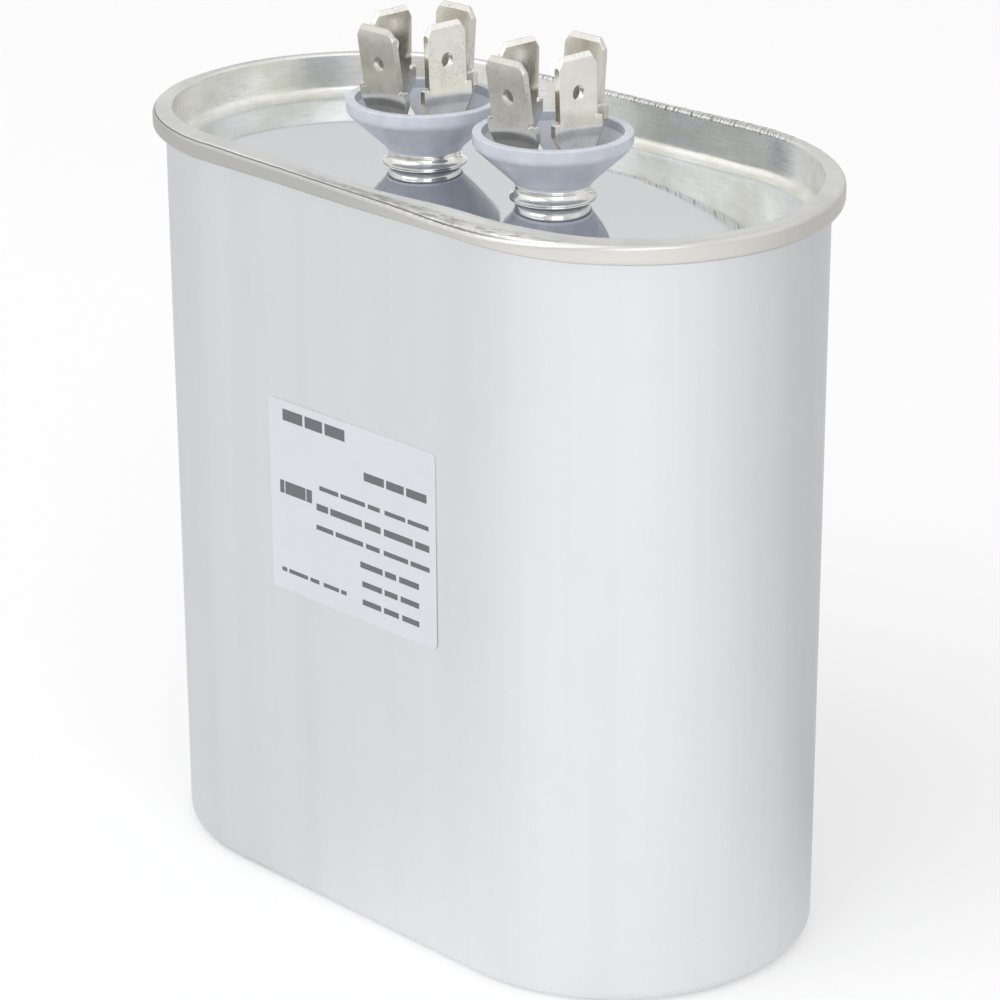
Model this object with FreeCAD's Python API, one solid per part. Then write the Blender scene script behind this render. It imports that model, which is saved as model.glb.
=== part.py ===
import FreeCAD, Part
import math
import os

from FreeCAD import Vector

# Oval motor run capacitor: an aluminium can closed by a tinplate lid in a double seam, with two
# insulated terminals that each carry four push-on blades, and a wound film element inside.
# Millimetres. The origin is the middle of the can's base, +Z is up, X runs along the oval's long
# side, and the label is on the -Y face.

# Can: a drawn oval cup with its flange rolled into the seam.
CAN_LENGTH = 94.8
CAN_WIDTH = 50.0
CAN_SHEET = 0.45
CAN_FOOT_RADIUS = 1.8

# Double seam between the can and the lid.
SEAM_TOP = 98.5
SEAM_HEIGHT = 3.0
SEAM_GAP = 0.12
SEAM_SLOPE = 10.0
SEAM_INNER_RADIUS = 0.45
SEAM_OUTER_RADIUS = 0.65

# Lid: a shallow drawn pan.
LID_SHEET = 0.4
LID_DEPTH = 5.9
LID_WALL_TAPER = 5.0
LID_FOOT_RADIUS = 1.8

# Label on the front face.
LABEL_WIDTH = 29.6
LABEL_HEIGHT = 25.2
LABEL_MIDDLE_X = 1.6
LABEL_MIDDLE_Z = 54.6
LABEL_THICKNESS = 0.1
LABEL_CORNER = 0.8

# Terminals: heights are above the lid's panel.
TERMINAL_SPACING = 22.4
FIT = 0.05
FERRULE_RADIUS = 4.55
FERRULE_SHEET = 0.4
FERRULE_HEIGHT = 1.65
FERRULE_FLARE_HEIGHT = 1.35
FERRULE_LIP_RADIUS = 5.27
FERRULE_LIP_HEIGHT = 0.2
FERRULE_CLINCH_RADIUS = 5.6

CUP_RIM_RADIUS = 9.75
CUP_RIM_HEIGHT = 8.1
CUP_BAND_HEIGHT = 1.45
CUP_WALL = 1.15
CUP_CONE_TOP_RADIUS = 9.35
CUP_CONE_TOP_HEIGHT = 6.1
CUP_CONE_FOOT_RADIUS = 4.75
CUP_CONE_FOOT_HEIGHT = 1.85
CUP_FLOOR_HEIGHT = 2.5
CUP_RIM_EDGE = 0.15

# Blades: standard 6.35 by 0.8 push-on tabs, two on each bent strip.
BLADE_WIDTH = 6.35
BLADE_SHEET = 0.8
BLADE_LENGTH = 8.0
BLADE_CORNER_WIDTH = 0.9
BLADE_CORNER_HEIGHT = 1.25
BLADE_CORNER_BEVEL = 0.15
BLADE_TIP_BEVEL_HEIGHT = 0.6
BLADE_TIP_BEVEL_DEPTH = 0.25
BLADE_HOLE_RADIUS = 0.95
BLADE_HOLE_HEIGHT = 3.3
SHOULDER_WIDTH = 8.0
SHOULDER_HEIGHT = 1.6
SHOULDER_RELIEF_RADIUS = 0.3
KNEE_WIDTH = 5.2
KNEE_HEIGHT = 6.3
STRIP_RADIUS = 1.0
HUB_WIDTH = 4.0
HUB_SETBACK = 1.15
ARM_WIDENS_FROM = 1.4
# Each blade's foot: out from the terminal's axis and up from the panel, then its outward lean.
FRONT_BLADE_REACH = 6.8
FRONT_BLADE_FOOT_HEIGHT = 10.45
FRONT_BLADE_LEAN = 8.9
BACK_BLADE_REACH = 5.1
BACK_BLADE_FOOT_HEIGHT = 10.93
BACK_BLADE_LEAN = 4.5
RIGHT_BLADE_REACH = 3.95
RIGHT_BLADE_FOOT_HEIGHT = 10.15
RIGHT_BLADE_LEAN = -2.2
LEFT_BLADE_REACH = 6.0
LEFT_BLADE_FOOT_HEIGHT = 10.3
LEFT_BLADE_LEAN = -1.3

# Rivet that holds each terminal together and ends in the break pin.
RIVET_RADIUS = 1.5
RIVET_HEAD_RADIUS = 2.0
RIVET_HEAD_HEIGHT = 0.9
RIVET_CLENCH_RADIUS = 2.6
RIVET_CLENCH_HEIGHT = 0.8
BREAK_PIN_RADIUS = 0.9

# Seals under the lid.
SEAL_RADIUS = 7.0
SEAL_THICKNESS = 1.2
BUSH_RADIUS = 6.4
BUSH_THICKNESS = 1.4
WASHER_RADIUS = 4.0
WASHER_THICKNESS = 0.5

# Pressure interrupter: a plate spaced off the lid by its rim, with a tag welded to each pin.
PLATE_DROP = 8.4
PLATE_THICKNESS = 1.5
PLATE_CLEARANCE = 0.4
PLATE_RIM_SETBACK = 3.4
PLATE_RIM_THICKNESS = 1.0
PLATE_PIN_CLEARANCE = 0.3
TAG_LENGTH = 8.0
TAG_WIDTH = 5.0
TAG_THICKNESS = 0.5
TAG_PIN_INSET = 2.2

# Wound element and what holds it in the can.
WRAP_CLEARANCE = 0.4
WRAP_THICKNESS = 0.8
WINDING_CLEARANCE = 0.2
WINDING_HEADROOM = 6.55
SPRAY_THICKNESS = 0.6
SPRAY_SETBACK = 0.3
CORE_RADIUS = 3.8
CORE_WALL = 1.2
SPACER_THICKNESS = 1.0
SPACER_RIB_HEIGHT = 2.5
SPACER_RIB_RADIUS = 15.0
SPACER_RIB_THICKNESS = 2.0

# Leads from the winding's two ends to the tags.
LEAD_RADIUS = 0.7
LEAD_BEND_RADIUS = 1.9
LEAD_FOOT_LENGTH = 8.0

# Sizes that follow from the ones above.
HALF_WIDTH = CAN_WIDTH/2
HALF_STRAIGHT = (CAN_LENGTH - CAN_WIDTH)/2
PANEL_Z = SEAM_TOP - LID_DEPTH
PANEL_UNDERSIDE = PANEL_Z - LID_SHEET
HOOK_RADIUS = (CAN_SHEET + LID_SHEET)/2 + SEAM_GAP
SEAM_OVERHANG = CAN_SHEET + 2*LID_SHEET + 3*SEAM_GAP
CAN_INSIDE = HALF_WIDTH - CAN_SHEET
SEAL_Z = PANEL_UNDERSIDE - FERRULE_SHEET - SEAL_THICKNESS
BUSH_Z = SEAL_Z - BUSH_THICKNESS
WASHER_Z = BUSH_Z - WASHER_THICKNESS
CLENCH_Z = WASHER_Z - RIVET_CLENCH_HEIGHT
PLATE_Z = PANEL_Z - PLATE_DROP
TAG_Z = PLATE_Z - TAG_THICKNESS
WRAP_RADIUS = CAN_INSIDE - WRAP_CLEARANCE
WINDING_RADIUS = WRAP_RADIUS - WRAP_THICKNESS - WINDING_CLEARANCE
SPACER_TOP = CAN_SHEET + SPACER_THICKNESS
ELEMENT_Z = SPACER_TOP + SPACER_RIB_HEIGHT
ELEMENT_TOP = TAG_Z - WINDING_HEADROOM
WINDING_Z = ELEMENT_Z + SPRAY_THICKNESS
WINDING_TOP = ELEMENT_TOP - SPRAY_THICKNESS

UP = Vector(0, 0, 1)


def polar(radius, degrees):
    angle = math.radians(degrees)
    return radius*math.cos(angle), radius*math.sin(angle)


def section_point(point):
    """A point of a section: its first value is the distance out, its second the height."""
    return Vector(point[0], 0, point[1])


def bent_sheet(start, heading, moves, thickness):
    """Section of a bent sheet, from the path of its middle line.

    Each move is ("go", length) or ("bend", middle radius, degrees), where positive degrees
    turn to the left of the heading.
    """
    half = thickness/2
    point, left, right = start, [], []

    def beside(middle, direction, distance):
        dx, dz = polar(distance, direction + 90)
        return section_point((middle[0] + dx, middle[1] + dz))

    for move in moves:
        if move[0] == "go":
            dx, dz = polar(move[1], heading)
            end = (point[0] + dx, point[1] + dz)
            for edges, offset in ((left, half), (right, -half)):
                edges.append(Part.LineSegment(beside(point, heading, offset),
                                              beside(end, heading, offset)).toShape())
        else:
            radius, degrees = move[1], move[2]
            side = math.copysign(1, degrees)
            dx, dz = polar(side*radius, heading + 90)
            centre = (point[0] + dx, point[1] + dz)

            def on_bend(turned):
                sx, sz = polar(-side*radius, heading + turned + 90)
                return centre[0] + sx, centre[1] + sz

            end = on_bend(degrees)
            for edges, offset in ((left, half), (right, -half)):
                edges.append(Part.Arc(beside(point, heading, offset),
                                      beside(on_bend(degrees/2), heading + degrees/2, offset),
                                      beside(end, heading + degrees, offset)).toShape())
            heading += degrees
        point = end
    first = Part.LineSegment(right[0].Vertexes[0].Point, left[0].Vertexes[0].Point).toShape()
    last = Part.LineSegment(left[-1].Vertexes[-1].Point, right[-1].Vertexes[-1].Point).toShape()
    wire = Part.Wire([first] + left + [last] + right[::-1])
    return Part.Face(wire)


def outline(points):
    """Closed section through the points; an item ("arc", middle, end) is a round stretch."""
    edges, here = [], section_point(points[0])
    for item in list(points[1:]) + [points[0]]:
        if item[0] == "arc":
            end = section_point(item[2])
            edges.append(Part.Arc(here, section_point(item[1]), end).toShape())
        else:
            end = section_point(item)
            edges.append(Part.LineSegment(here, end).toShape())
        here = end
    return Part.Face(Part.Wire(edges))


def rectangle(inside, outside, low, high):
    return outline([(inside, low), (outside, low), (outside, high), (inside, high)])


def turned(section, x=0.0):
    """Solid of revolution about the vertical axis at x."""
    solid = section.revolve(Vector(0, 0, 0), UP, 360)
    solid.translate(Vector(x, 0, 0))
    return solid


def obround(section):
    """Carries a section round the can's oval: straight along both faces, a half turn at each end."""
    parts = []
    for side in (1, -1):
        end = section.copy()
        end.rotate(Vector(0, 0, 0), UP, -90*side)
        end = end.revolve(Vector(0, 0, 0), UP, 180)
        end.translate(Vector(side*HALF_STRAIGHT, 0, 0))
        face = section.copy()
        face.rotate(Vector(0, 0, 0), UP, -90*side)
        face.translate(Vector(-HALF_STRAIGHT, 0, 0))
        parts += [end, face.extrude(Vector(2*HALF_STRAIGHT, 0, 0))]
    return parts[0].fuse(parts[1:]).removeSplitter()


def block(width, depth, height, middle_x, middle_y, low):
    """Upright box about a middle point."""
    return Part.makeBox(width, depth, height,
                        Vector(middle_x - width/2, middle_y - depth/2, low))


def seam_lip():
    """Centre of the lid's inner lip bend, where the chuck wall turns out over the can's flange."""
    wall = HALF_WIDTH - CAN_SHEET - SEAM_GAP - LID_SHEET/2
    dx, dz = polar(SEAM_INNER_RADIUS, -LID_WALL_TAPER)
    return wall + dx, SEAM_TOP - LID_SHEET/2 - SEAM_INNER_RADIUS


def hook_centre():
    """Centre of the can's flange bend, one gap below the lid's sloping top."""
    x = HALF_WIDTH - CAN_SHEET/2 + HOOK_RADIUS
    lip_x, lip_z = seam_lip()
    slope = math.radians(SEAM_SLOPE)
    drop = HOOK_RADIUS + CAN_SHEET/2 + SEAM_GAP + LID_SHEET/2 - SEAM_INNER_RADIUS
    return x, lip_z - (x - lip_x)*math.tan(slope) - drop/math.cos(slope)


def curl_z():
    """Height of the lid's bottom curl centre."""
    return SEAM_TOP - SEAM_HEIGHT + HOOK_RADIUS + LID_SHEET/2


def make_can():
    foot = CAN_FOOT_RADIUS - CAN_SHEET/2
    hook_z = hook_centre()[1]
    return obround(bent_sheet((0, CAN_SHEET/2), 0, [
        ("go", HALF_WIDTH - CAN_FOOT_RADIUS),
        ("bend", foot, 90),
        ("go", hook_z - CAN_FOOT_RADIUS),
        ("bend", HOOK_RADIUS, -180),
        ("go", hook_z - curl_z())], CAN_SHEET))


def make_lid():
    """Panel, tapered chuck wall, lip over the flange, seaming wall, bottom curl and cover hook."""
    wall_heading = 90 - LID_WALL_TAPER
    lip_x, lip_z = seam_lip()
    dx, dz = polar(SEAM_INNER_RADIUS, wall_heading + 90)
    wall_top = (lip_x + dx, lip_z + dz)
    start_z = PANEL_Z - LID_SHEET/2
    foot_dx, foot_dz = polar(LID_FOOT_RADIUS, wall_heading - 90)
    rise = wall_top[1] - (start_z + LID_FOOT_RADIUS + foot_dz)
    wall_length = rise/math.sin(math.radians(wall_heading))
    flat = wall_top[0] - polar(wall_length, wall_heading)[0] - foot_dx
    slope = math.radians(SEAM_SLOPE)
    seaming_x = HALF_WIDTH + SEAM_OVERHANG - LID_SHEET/2
    top_start = lip_x + SEAM_INNER_RADIUS*math.sin(slope)
    top_end = seaming_x - SEAM_OUTER_RADIUS*(1 - math.sin(slope))
    top_length = (top_end - top_start)/math.cos(slope)
    top_drop = top_length*math.sin(slope)
    seaming_z = lip_z + (SEAM_INNER_RADIUS - SEAM_OUTER_RADIUS)*math.cos(slope) - top_drop
    return obround(bent_sheet((0, start_z), 0, [
        ("go", flat),
        ("bend", LID_FOOT_RADIUS, wall_heading),
        ("go", wall_length),
        ("bend", SEAM_INNER_RADIUS, -(wall_heading + SEAM_SLOPE)),
        ("go", top_length),
        ("bend", SEAM_OUTER_RADIUS, -(90 - SEAM_SLOPE)),
        ("go", seaming_z - curl_z()),
        ("bend", HOOK_RADIUS, -180),
        ("go", hook_centre()[1] - curl_z())], LID_SHEET))


def make_compound():
    """Sealing compound in the gap between the can's flange bend and the lid."""
    x, z = hook_centre()
    radius = HOOK_RADIUS + CAN_SHEET/2 + SEAM_GAP/2
    return obround(bent_sheet((x - radius, z), 90, [("bend", radius, -180)], 0.9*SEAM_GAP))


def make_label():
    label = block(LABEL_WIDTH, LABEL_THICKNESS, LABEL_HEIGHT, LABEL_MIDDLE_X,
                  -HALF_WIDTH - LABEL_THICKNESS/2, LABEL_MIDDLE_Z - LABEL_HEIGHT/2)
    corners = [edge for edge in label.Edges if edge.Length < 2*LABEL_THICKNESS]
    return label.makeFillet(LABEL_CORNER, corners)


def make_ferrule():
    """Flared eyelet: a neck round the insulator, a lip on the panel and a clinch below it."""
    bore = FERRULE_RADIUS - FERRULE_SHEET
    run = FERRULE_LIP_RADIUS - FERRULE_RADIUS
    drop = FERRULE_FLARE_HEIGHT - FERRULE_LIP_HEIGHT
    flare = (run**2 + drop**2)/(2*run)
    turn = math.degrees(math.asin(drop/flare))
    dx, dz = polar(flare, 180 + turn/2)
    section = outline([
        (bore, FERRULE_HEIGHT), (FERRULE_RADIUS, FERRULE_HEIGHT),
        (FERRULE_RADIUS, FERRULE_FLARE_HEIGHT),
        ("arc", (FERRULE_RADIUS + flare + dx, FERRULE_FLARE_HEIGHT + dz),
         (FERRULE_LIP_RADIUS, FERRULE_LIP_HEIGHT)),
        (FERRULE_LIP_RADIUS, 0), (FERRULE_RADIUS, 0),
        (FERRULE_RADIUS, -LID_SHEET), (FERRULE_CLINCH_RADIUS, -LID_SHEET),
        (FERRULE_CLINCH_RADIUS, -LID_SHEET - FERRULE_SHEET), (bore, -LID_SHEET - FERRULE_SHEET)])
    section.translate(Vector(0, 0, PANEL_Z))
    return turned(section)


def cup_inside():
    """Radius of the cup's floor, its upper inside radius and the height where its cone ends."""
    run = CUP_CONE_TOP_RADIUS - CUP_CONE_FOOT_RADIUS
    rise = CUP_CONE_TOP_HEIGHT - CUP_CONE_FOOT_HEIGHT
    length = math.hypot(run, rise)
    cone_radius = CUP_CONE_TOP_RADIUS - CUP_WALL*rise/length
    cone_height = CUP_CONE_TOP_HEIGHT + CUP_WALL*run/length
    floor_radius = cone_radius - (cone_height - CUP_FLOOR_HEIGHT)*run/rise
    top_radius = CUP_RIM_RADIUS - CUP_WALL
    return floor_radius, top_radius, cone_height + (top_radius - cone_radius)*rise/run


def make_cup():
    """Funnel-shaped insulator with a neck down through the ferrule and its seal."""
    neck = FERRULE_RADIUS - FERRULE_SHEET - FIT
    bore = RIVET_RADIUS + FIT
    neck_end = SEAL_Z - PANEL_Z
    floor_radius, inside_top, cone_z = cup_inside()
    band_foot = CUP_RIM_HEIGHT - CUP_BAND_HEIGHT
    edge = CUP_RIM_EDGE
    section = outline([
        (bore, neck_end), (neck, neck_end), (neck, FERRULE_HEIGHT),
        (CUP_CONE_FOOT_RADIUS, FERRULE_HEIGHT), (CUP_CONE_FOOT_RADIUS, CUP_CONE_FOOT_HEIGHT),
        (CUP_CONE_TOP_RADIUS, CUP_CONE_TOP_HEIGHT), (CUP_RIM_RADIUS, band_foot),
        (CUP_RIM_RADIUS, CUP_RIM_HEIGHT - edge), (CUP_RIM_RADIUS - edge, CUP_RIM_HEIGHT),
        (inside_top + edge, CUP_RIM_HEIGHT), (inside_top, CUP_RIM_HEIGHT - edge),
        (inside_top, cone_z), (floor_radius, CUP_FLOOR_HEIGHT), (bore, CUP_FLOOR_HEIGHT)])
    section.translate(Vector(0, 0, PANEL_Z))
    return turned(section)


def leg_outline(hub_z, foot_z):
    """Outline of one leg from the front: narrow at the hub, wide at the shoulders, then the blade."""
    shoulder = SHOULDER_WIDTH/2
    half = [(HUB_WIDTH/2, hub_z - BLADE_SHEET), (HUB_WIDTH/2, hub_z + ARM_WIDENS_FROM),
            (KNEE_WIDTH/2, PANEL_Z + KNEE_HEIGHT), (shoulder, foot_z - SHOULDER_HEIGHT),
            (shoulder, foot_z), (BLADE_WIDTH/2, foot_z),
            (BLADE_WIDTH/2, foot_z + 1.1*BLADE_LENGTH)]
    points = half + [(-across, height) for across, height in reversed(half)]
    ring = [Vector(0, across, height) for across, height in points]
    return Part.Face(Part.makePolygon(ring + ring[:1]))


def bevel_cut(corner, on_face, on_side, run):
    """Prism that takes off an edge, down to the plane through a line on each side of it."""
    points = [on_face*2 - on_side, on_side*2 - on_face, corner*3 - on_face - on_side]
    return Part.Face(Part.makePolygon(points + points[:1])).extrude(run)


def make_leg(hub_z, hub_reach, reach, foot_height, lean):
    """One leg of a strip, out along +X: hub, arm, knee, shoulders and a bevelled blade."""
    foot_z = PANEL_Z + foot_height
    knee_z = PANEL_Z + KNEE_HEIGHT
    middle_z = hub_z + BLADE_SHEET/2
    blade_heading = 90 - lean
    above_knee = (foot_z - knee_z)/math.cos(math.radians(lean))
    knee_x = reach - above_knee*math.sin(math.radians(lean))
    turn_x, turn_z = polar(STRIP_RADIUS, blade_heading + 90)
    arm = (knee_x + turn_x - hub_reach, knee_z + turn_z - middle_z - STRIP_RADIUS)
    arm_heading = math.degrees(math.atan2(arm[1], arm[0]))
    section = bent_sheet((0, middle_z), 0, [
        ("go", hub_reach),
        ("bend", STRIP_RADIUS, arm_heading),
        ("go", math.hypot(arm[0], arm[1])),
        ("bend", STRIP_RADIUS, blade_heading - arm_heading),
        ("go", above_knee + BLADE_LENGTH)], BLADE_SHEET)
    section.translate(Vector(0, -SHOULDER_WIDTH/2, 0))
    strip = section.extrude(Vector(0, SHOULDER_WIDTH, 0))
    leg = strip.common(leg_outline(hub_z, foot_z).extrude(Vector(reach + BLADE_LENGTH, 0, 0)))

    # Everything on the blade is measured up its own length from its foot.
    along = Vector(polar(1, blade_heading)[0], 0, polar(1, blade_heading)[1])
    outward = Vector(along.z, 0, -along.x)
    foot = Vector(reach, 0, foot_z)

    def on_blade(up, across, out=0.0):
        return foot + along*up + Vector(0, across, 0) + outward*out

    def through(up, across, radius):
        return Part.makeCylinder(radius, 4*BLADE_SHEET, on_blade(up, across, -2*BLADE_SHEET),
                                 outward)

    cuts = [through(BLADE_HOLE_HEIGHT, 0, BLADE_HOLE_RADIUS)]
    corner_up = BLADE_LENGTH - BLADE_CORNER_HEIGHT
    for side in (1, -1):
        edge = side*BLADE_WIDTH/2
        tip_edge = edge - side*BLADE_CORNER_WIDTH
        cuts.append(through(0, edge, SHOULDER_RELIEF_RADIUS))
        wedge = [on_blade(up, across, -2*BLADE_SHEET) for up, across in (
            (corner_up, edge), (BLADE_LENGTH, tip_edge), (2*BLADE_LENGTH, tip_edge),
            (2*BLADE_LENGTH, 2*edge), (corner_up, 2*edge))]
        wedge = Part.Face(Part.makePolygon(wedge + wedge[:1]))
        cuts.append(wedge.extrude(outward*(4*BLADE_SHEET)))

    # The tip and both corners are bevelled on both faces.
    for face in (1, -1):
        out = face*BLADE_SHEET/2
        across = -BLADE_WIDTH
        cuts.append(bevel_cut(on_blade(BLADE_LENGTH, across, out),
                              on_blade(BLADE_LENGTH - BLADE_TIP_BEVEL_HEIGHT, across, out),
                              on_blade(BLADE_LENGTH, across, out - face*BLADE_TIP_BEVEL_DEPTH),
                              Vector(0, 2*BLADE_WIDTH, 0)))
        for side in (1, -1):
            slant = along*BLADE_CORNER_HEIGHT - Vector(0, side*BLADE_CORNER_WIDTH, 0)
            inward = outward.cross(slant).normalize()*side
            start = on_blade(corner_up, side*BLADE_WIDTH/2, out) - slant
            cuts.append(bevel_cut(start, start + inward*BLADE_CORNER_BEVEL,
                                  start - outward*(face*BLADE_CORNER_BEVEL), slant*3))
    return leg.cut(cuts).Solids[0]


def make_strip(hub_z, hub_reach, blades):
    """Two blades on one bent strip, with the rivet's hole through its hub."""
    legs = []
    for direction, reach, foot_height, lean in blades:
        leg = make_leg(hub_z, hub_reach, reach, foot_height, lean)
        leg.rotate(Vector(0, 0, 0), UP, direction)
        legs.append(leg)
    strip = legs[0].fuse(legs[1]).removeSplitter()
    hole = Part.makeCylinder(RIVET_RADIUS + FIT, 2*BLADE_SHEET,
                             Vector(0, 0, hub_z - BLADE_SHEET/2))
    return strip.cut(hole)


def make_rivet():
    """Domed head on the strips' hubs, shank, clench under the washer and the thin break pin."""
    seat = PANEL_Z + CUP_FLOOR_HEIGHT + 2*BLADE_SHEET
    dome = (RIVET_HEAD_RADIUS**2 + RIVET_HEAD_HEIGHT**2)/(2*RIVET_HEAD_HEIGHT)
    half_angle = math.degrees(math.asin(RIVET_HEAD_RADIUS/dome))/2
    on_dome = polar(dome, 90 - half_angle)
    crown = seat + RIVET_HEAD_HEIGHT
    on_clench = polar(RIVET_CLENCH_HEIGHT, -45)
    clench_flat = RIVET_CLENCH_RADIUS - RIVET_CLENCH_HEIGHT
    return turned(outline([
        (0, TAG_Z + TAG_THICKNESS), (BREAK_PIN_RADIUS, TAG_Z + TAG_THICKNESS),
        (BREAK_PIN_RADIUS, CLENCH_Z), (clench_flat, CLENCH_Z),
        ("arc", (clench_flat + on_clench[0], WASHER_Z + on_clench[1]),
         (RIVET_CLENCH_RADIUS, WASHER_Z)),
        (RIVET_RADIUS, WASHER_Z), (RIVET_RADIUS, seat), (RIVET_HEAD_RADIUS, seat),
        ("arc", (on_dome[0], crown - dome + on_dome[1]), (0, crown))]))


def make_seal():
    neck = FERRULE_RADIUS - FERRULE_SHEET
    return turned(rectangle(neck, SEAL_RADIUS, SEAL_Z, SEAL_Z + SEAL_THICKNESS))


def make_bush():
    """Insulating bush between the seal and the rivet's washer, with a collar round the shank."""
    return turned(rectangle(RIVET_RADIUS + FIT, BUSH_RADIUS, BUSH_Z, BUSH_Z + BUSH_THICKNESS))


def make_washer():
    return turned(rectangle(RIVET_RADIUS + FIT, WASHER_RADIUS, WASHER_Z, BUSH_Z))


def make_tag(side):
    """Brass strip under the plate, welded to the break pin at one end and to a lead at the other."""
    middle = side*(TERMINAL_SPACING/2 + TAG_LENGTH/2 - TAG_PIN_INSET)
    return block(TAG_LENGTH, TAG_WIDTH, TAG_THICKNESS, middle, 0, TAG_Z)


def make_plate():
    """Interrupter plate with a rim that spaces it off the lid, and a hole for each break pin."""
    radius = CAN_INSIDE - PLATE_CLEARANCE
    rim = HALF_WIDTH - PLATE_RIM_SETBACK
    plate = obround(outline([
        (0, PLATE_Z), (radius, PLATE_Z), (radius, PLATE_Z + PLATE_THICKNESS),
        (rim, PLATE_Z + PLATE_THICKNESS), (rim, PANEL_UNDERSIDE),
        (rim - PLATE_RIM_THICKNESS, PANEL_UNDERSIDE),
        (rim - PLATE_RIM_THICKNESS, PLATE_Z + PLATE_THICKNESS), (0, PLATE_Z + PLATE_THICKNESS)]))
    holes = [Part.makeCylinder(BREAK_PIN_RADIUS + PLATE_PIN_CLEARANCE, 2*PLATE_THICKNESS,
                               Vector(side*TERMINAL_SPACING/2, 0, PLATE_Z - PLATE_THICKNESS/2))
             for side in (1, -1)]
    return plate.cut(holes)


def make_spacer():
    """Insulating tray on the can's base: the wrap stands on it, and its rib lifts the winding."""
    inner = SPACER_RIB_RADIUS - SPACER_RIB_THICKNESS
    return obround(outline([
        (0, CAN_SHEET), (CAN_INSIDE - CAN_FOOT_RADIUS, CAN_SHEET),
        (WRAP_RADIUS, CAN_SHEET + SPACER_THICKNESS/2), (WRAP_RADIUS, SPACER_TOP),
        (SPACER_RIB_RADIUS, SPACER_TOP), (SPACER_RIB_RADIUS, ELEMENT_Z), (inner, ELEMENT_Z),
        (inner, SPACER_TOP), (0, SPACER_TOP)]))


def make_lead(x, tag_end, foot_z):
    """Round lead: down from its tag, then a bend and a foot along +Y on the sprayed end."""
    bend_z = foot_z + LEAD_BEND_RADIUS
    drop = Part.makeCylinder(LEAD_RADIUS, tag_end - bend_z, Vector(x, 0, bend_z))
    circle = Part.Wire(Part.Circle(Vector(x, 0, bend_z), UP, LEAD_RADIUS).toShape())
    bend = Part.Face(circle).revolve(Vector(x, LEAD_BEND_RADIUS, bend_z), Vector(1, 0, 0), 90)
    foot = Part.makeCylinder(LEAD_RADIUS, LEAD_FOOT_LENGTH, Vector(x, LEAD_BEND_RADIUS, foot_z),
                             Vector(0, 1, 0))
    return drop.fuse([bend, foot]).removeSplitter()


def make_parts():
    half_spacing = TERMINAL_SPACING/2
    lid = make_lid()
    for x in (-half_spacing, half_spacing):
        lid = lid.cut(Part.makeCylinder(FERRULE_RADIUS, 3*LID_SHEET,
                                        Vector(x, 0, PANEL_Z - 2*LID_SHEET)))
    spray_radius = WINDING_RADIUS - SPRAY_SETBACK
    parts = {
        "can": make_can(),
        "lid": lid,
        "seam_compound": make_compound(),
        "label": make_label(),
        "interrupter_plate": make_plate(),
        "bottom_spacer": make_spacer(),
        "winding_core": obround(rectangle(CORE_RADIUS - CORE_WALL, CORE_RADIUS, ELEMENT_Z,
                                          ELEMENT_TOP)),
        "film_winding": obround(rectangle(CORE_RADIUS, WINDING_RADIUS, WINDING_Z, WINDING_TOP)),
        "end_spray_bottom": obround(rectangle(CORE_RADIUS, spray_radius, ELEMENT_Z, WINDING_Z)),
        "end_spray_top": obround(rectangle(CORE_RADIUS, spray_radius, WINDING_TOP, ELEMENT_TOP)),
        "insulating_wrap": obround(rectangle(WRAP_RADIUS - WRAP_THICKNESS, WRAP_RADIUS,
                                             SPACER_TOP, PLATE_Z)),
    }
    lead_offset = half_spacing + TAG_LENGTH - 2*TAG_PIN_INSET
    parts["lead_short"] = make_lead(-lead_offset, TAG_Z, ELEMENT_TOP + LEAD_RADIUS)
    parts["lead_long"] = make_lead(lead_offset, TAG_Z, ELEMENT_Z - LEAD_RADIUS)

    hub_z = PANEL_Z + CUP_FLOOR_HEIGHT
    hub_reach = cup_inside()[0] - HUB_SETBACK
    outer_blades = [
        (-90, FRONT_BLADE_REACH, FRONT_BLADE_FOOT_HEIGHT, FRONT_BLADE_LEAN),
        (90, BACK_BLADE_REACH, BACK_BLADE_FOOT_HEIGHT, BACK_BLADE_LEAN)]
    inner_blades = [
        (0, RIGHT_BLADE_REACH, RIGHT_BLADE_FOOT_HEIGHT, RIGHT_BLADE_LEAN),
        (180, LEFT_BLADE_REACH, LEFT_BLADE_FOOT_HEIGHT, LEFT_BLADE_LEAN)]
    terminal = {
        "terminal_ferrule": make_ferrule(),
        "insulator_cup": make_cup(),
        "outer_blade_strip": make_strip(hub_z, hub_reach, outer_blades),
        "inner_blade_strip": make_strip(hub_z + BLADE_SHEET, hub_reach, inner_blades),
        "terminal_rivet": make_rivet(),
        "sealing_washer": make_seal(),
        "insulating_bush": make_bush(),
        "rivet_washer": make_washer(),
    }
    for name, side in (("left", -1), ("right", 1)):
        for kind, shape in terminal.items():
            piece = shape.copy()
            piece.translate(Vector(side*half_spacing, 0, 0))
            parts[f"{kind}_{name}"] = piece
        parts[f"contact_tag_{name}"] = make_tag(side)
    return parts


os.makedirs("parts", exist_ok=True)
for name, shape in make_parts().items():
    if not shape.isValid():
        print("not valid:", name)
    print(f"{name}: {len(shape.Solids)} solid, {shape.Volume:.2f} mm3")
    shape.exportStep(f"parts/{name}.step")
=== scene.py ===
import math

import bmesh
import bpy
import numpy as np
from bpy.props import FloatProperty, FloatVectorProperty, IntProperty, PointerProperty
from mathutils import Matrix, Vector
from mathutils.geometry import delaunay_2d_cdt


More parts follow.
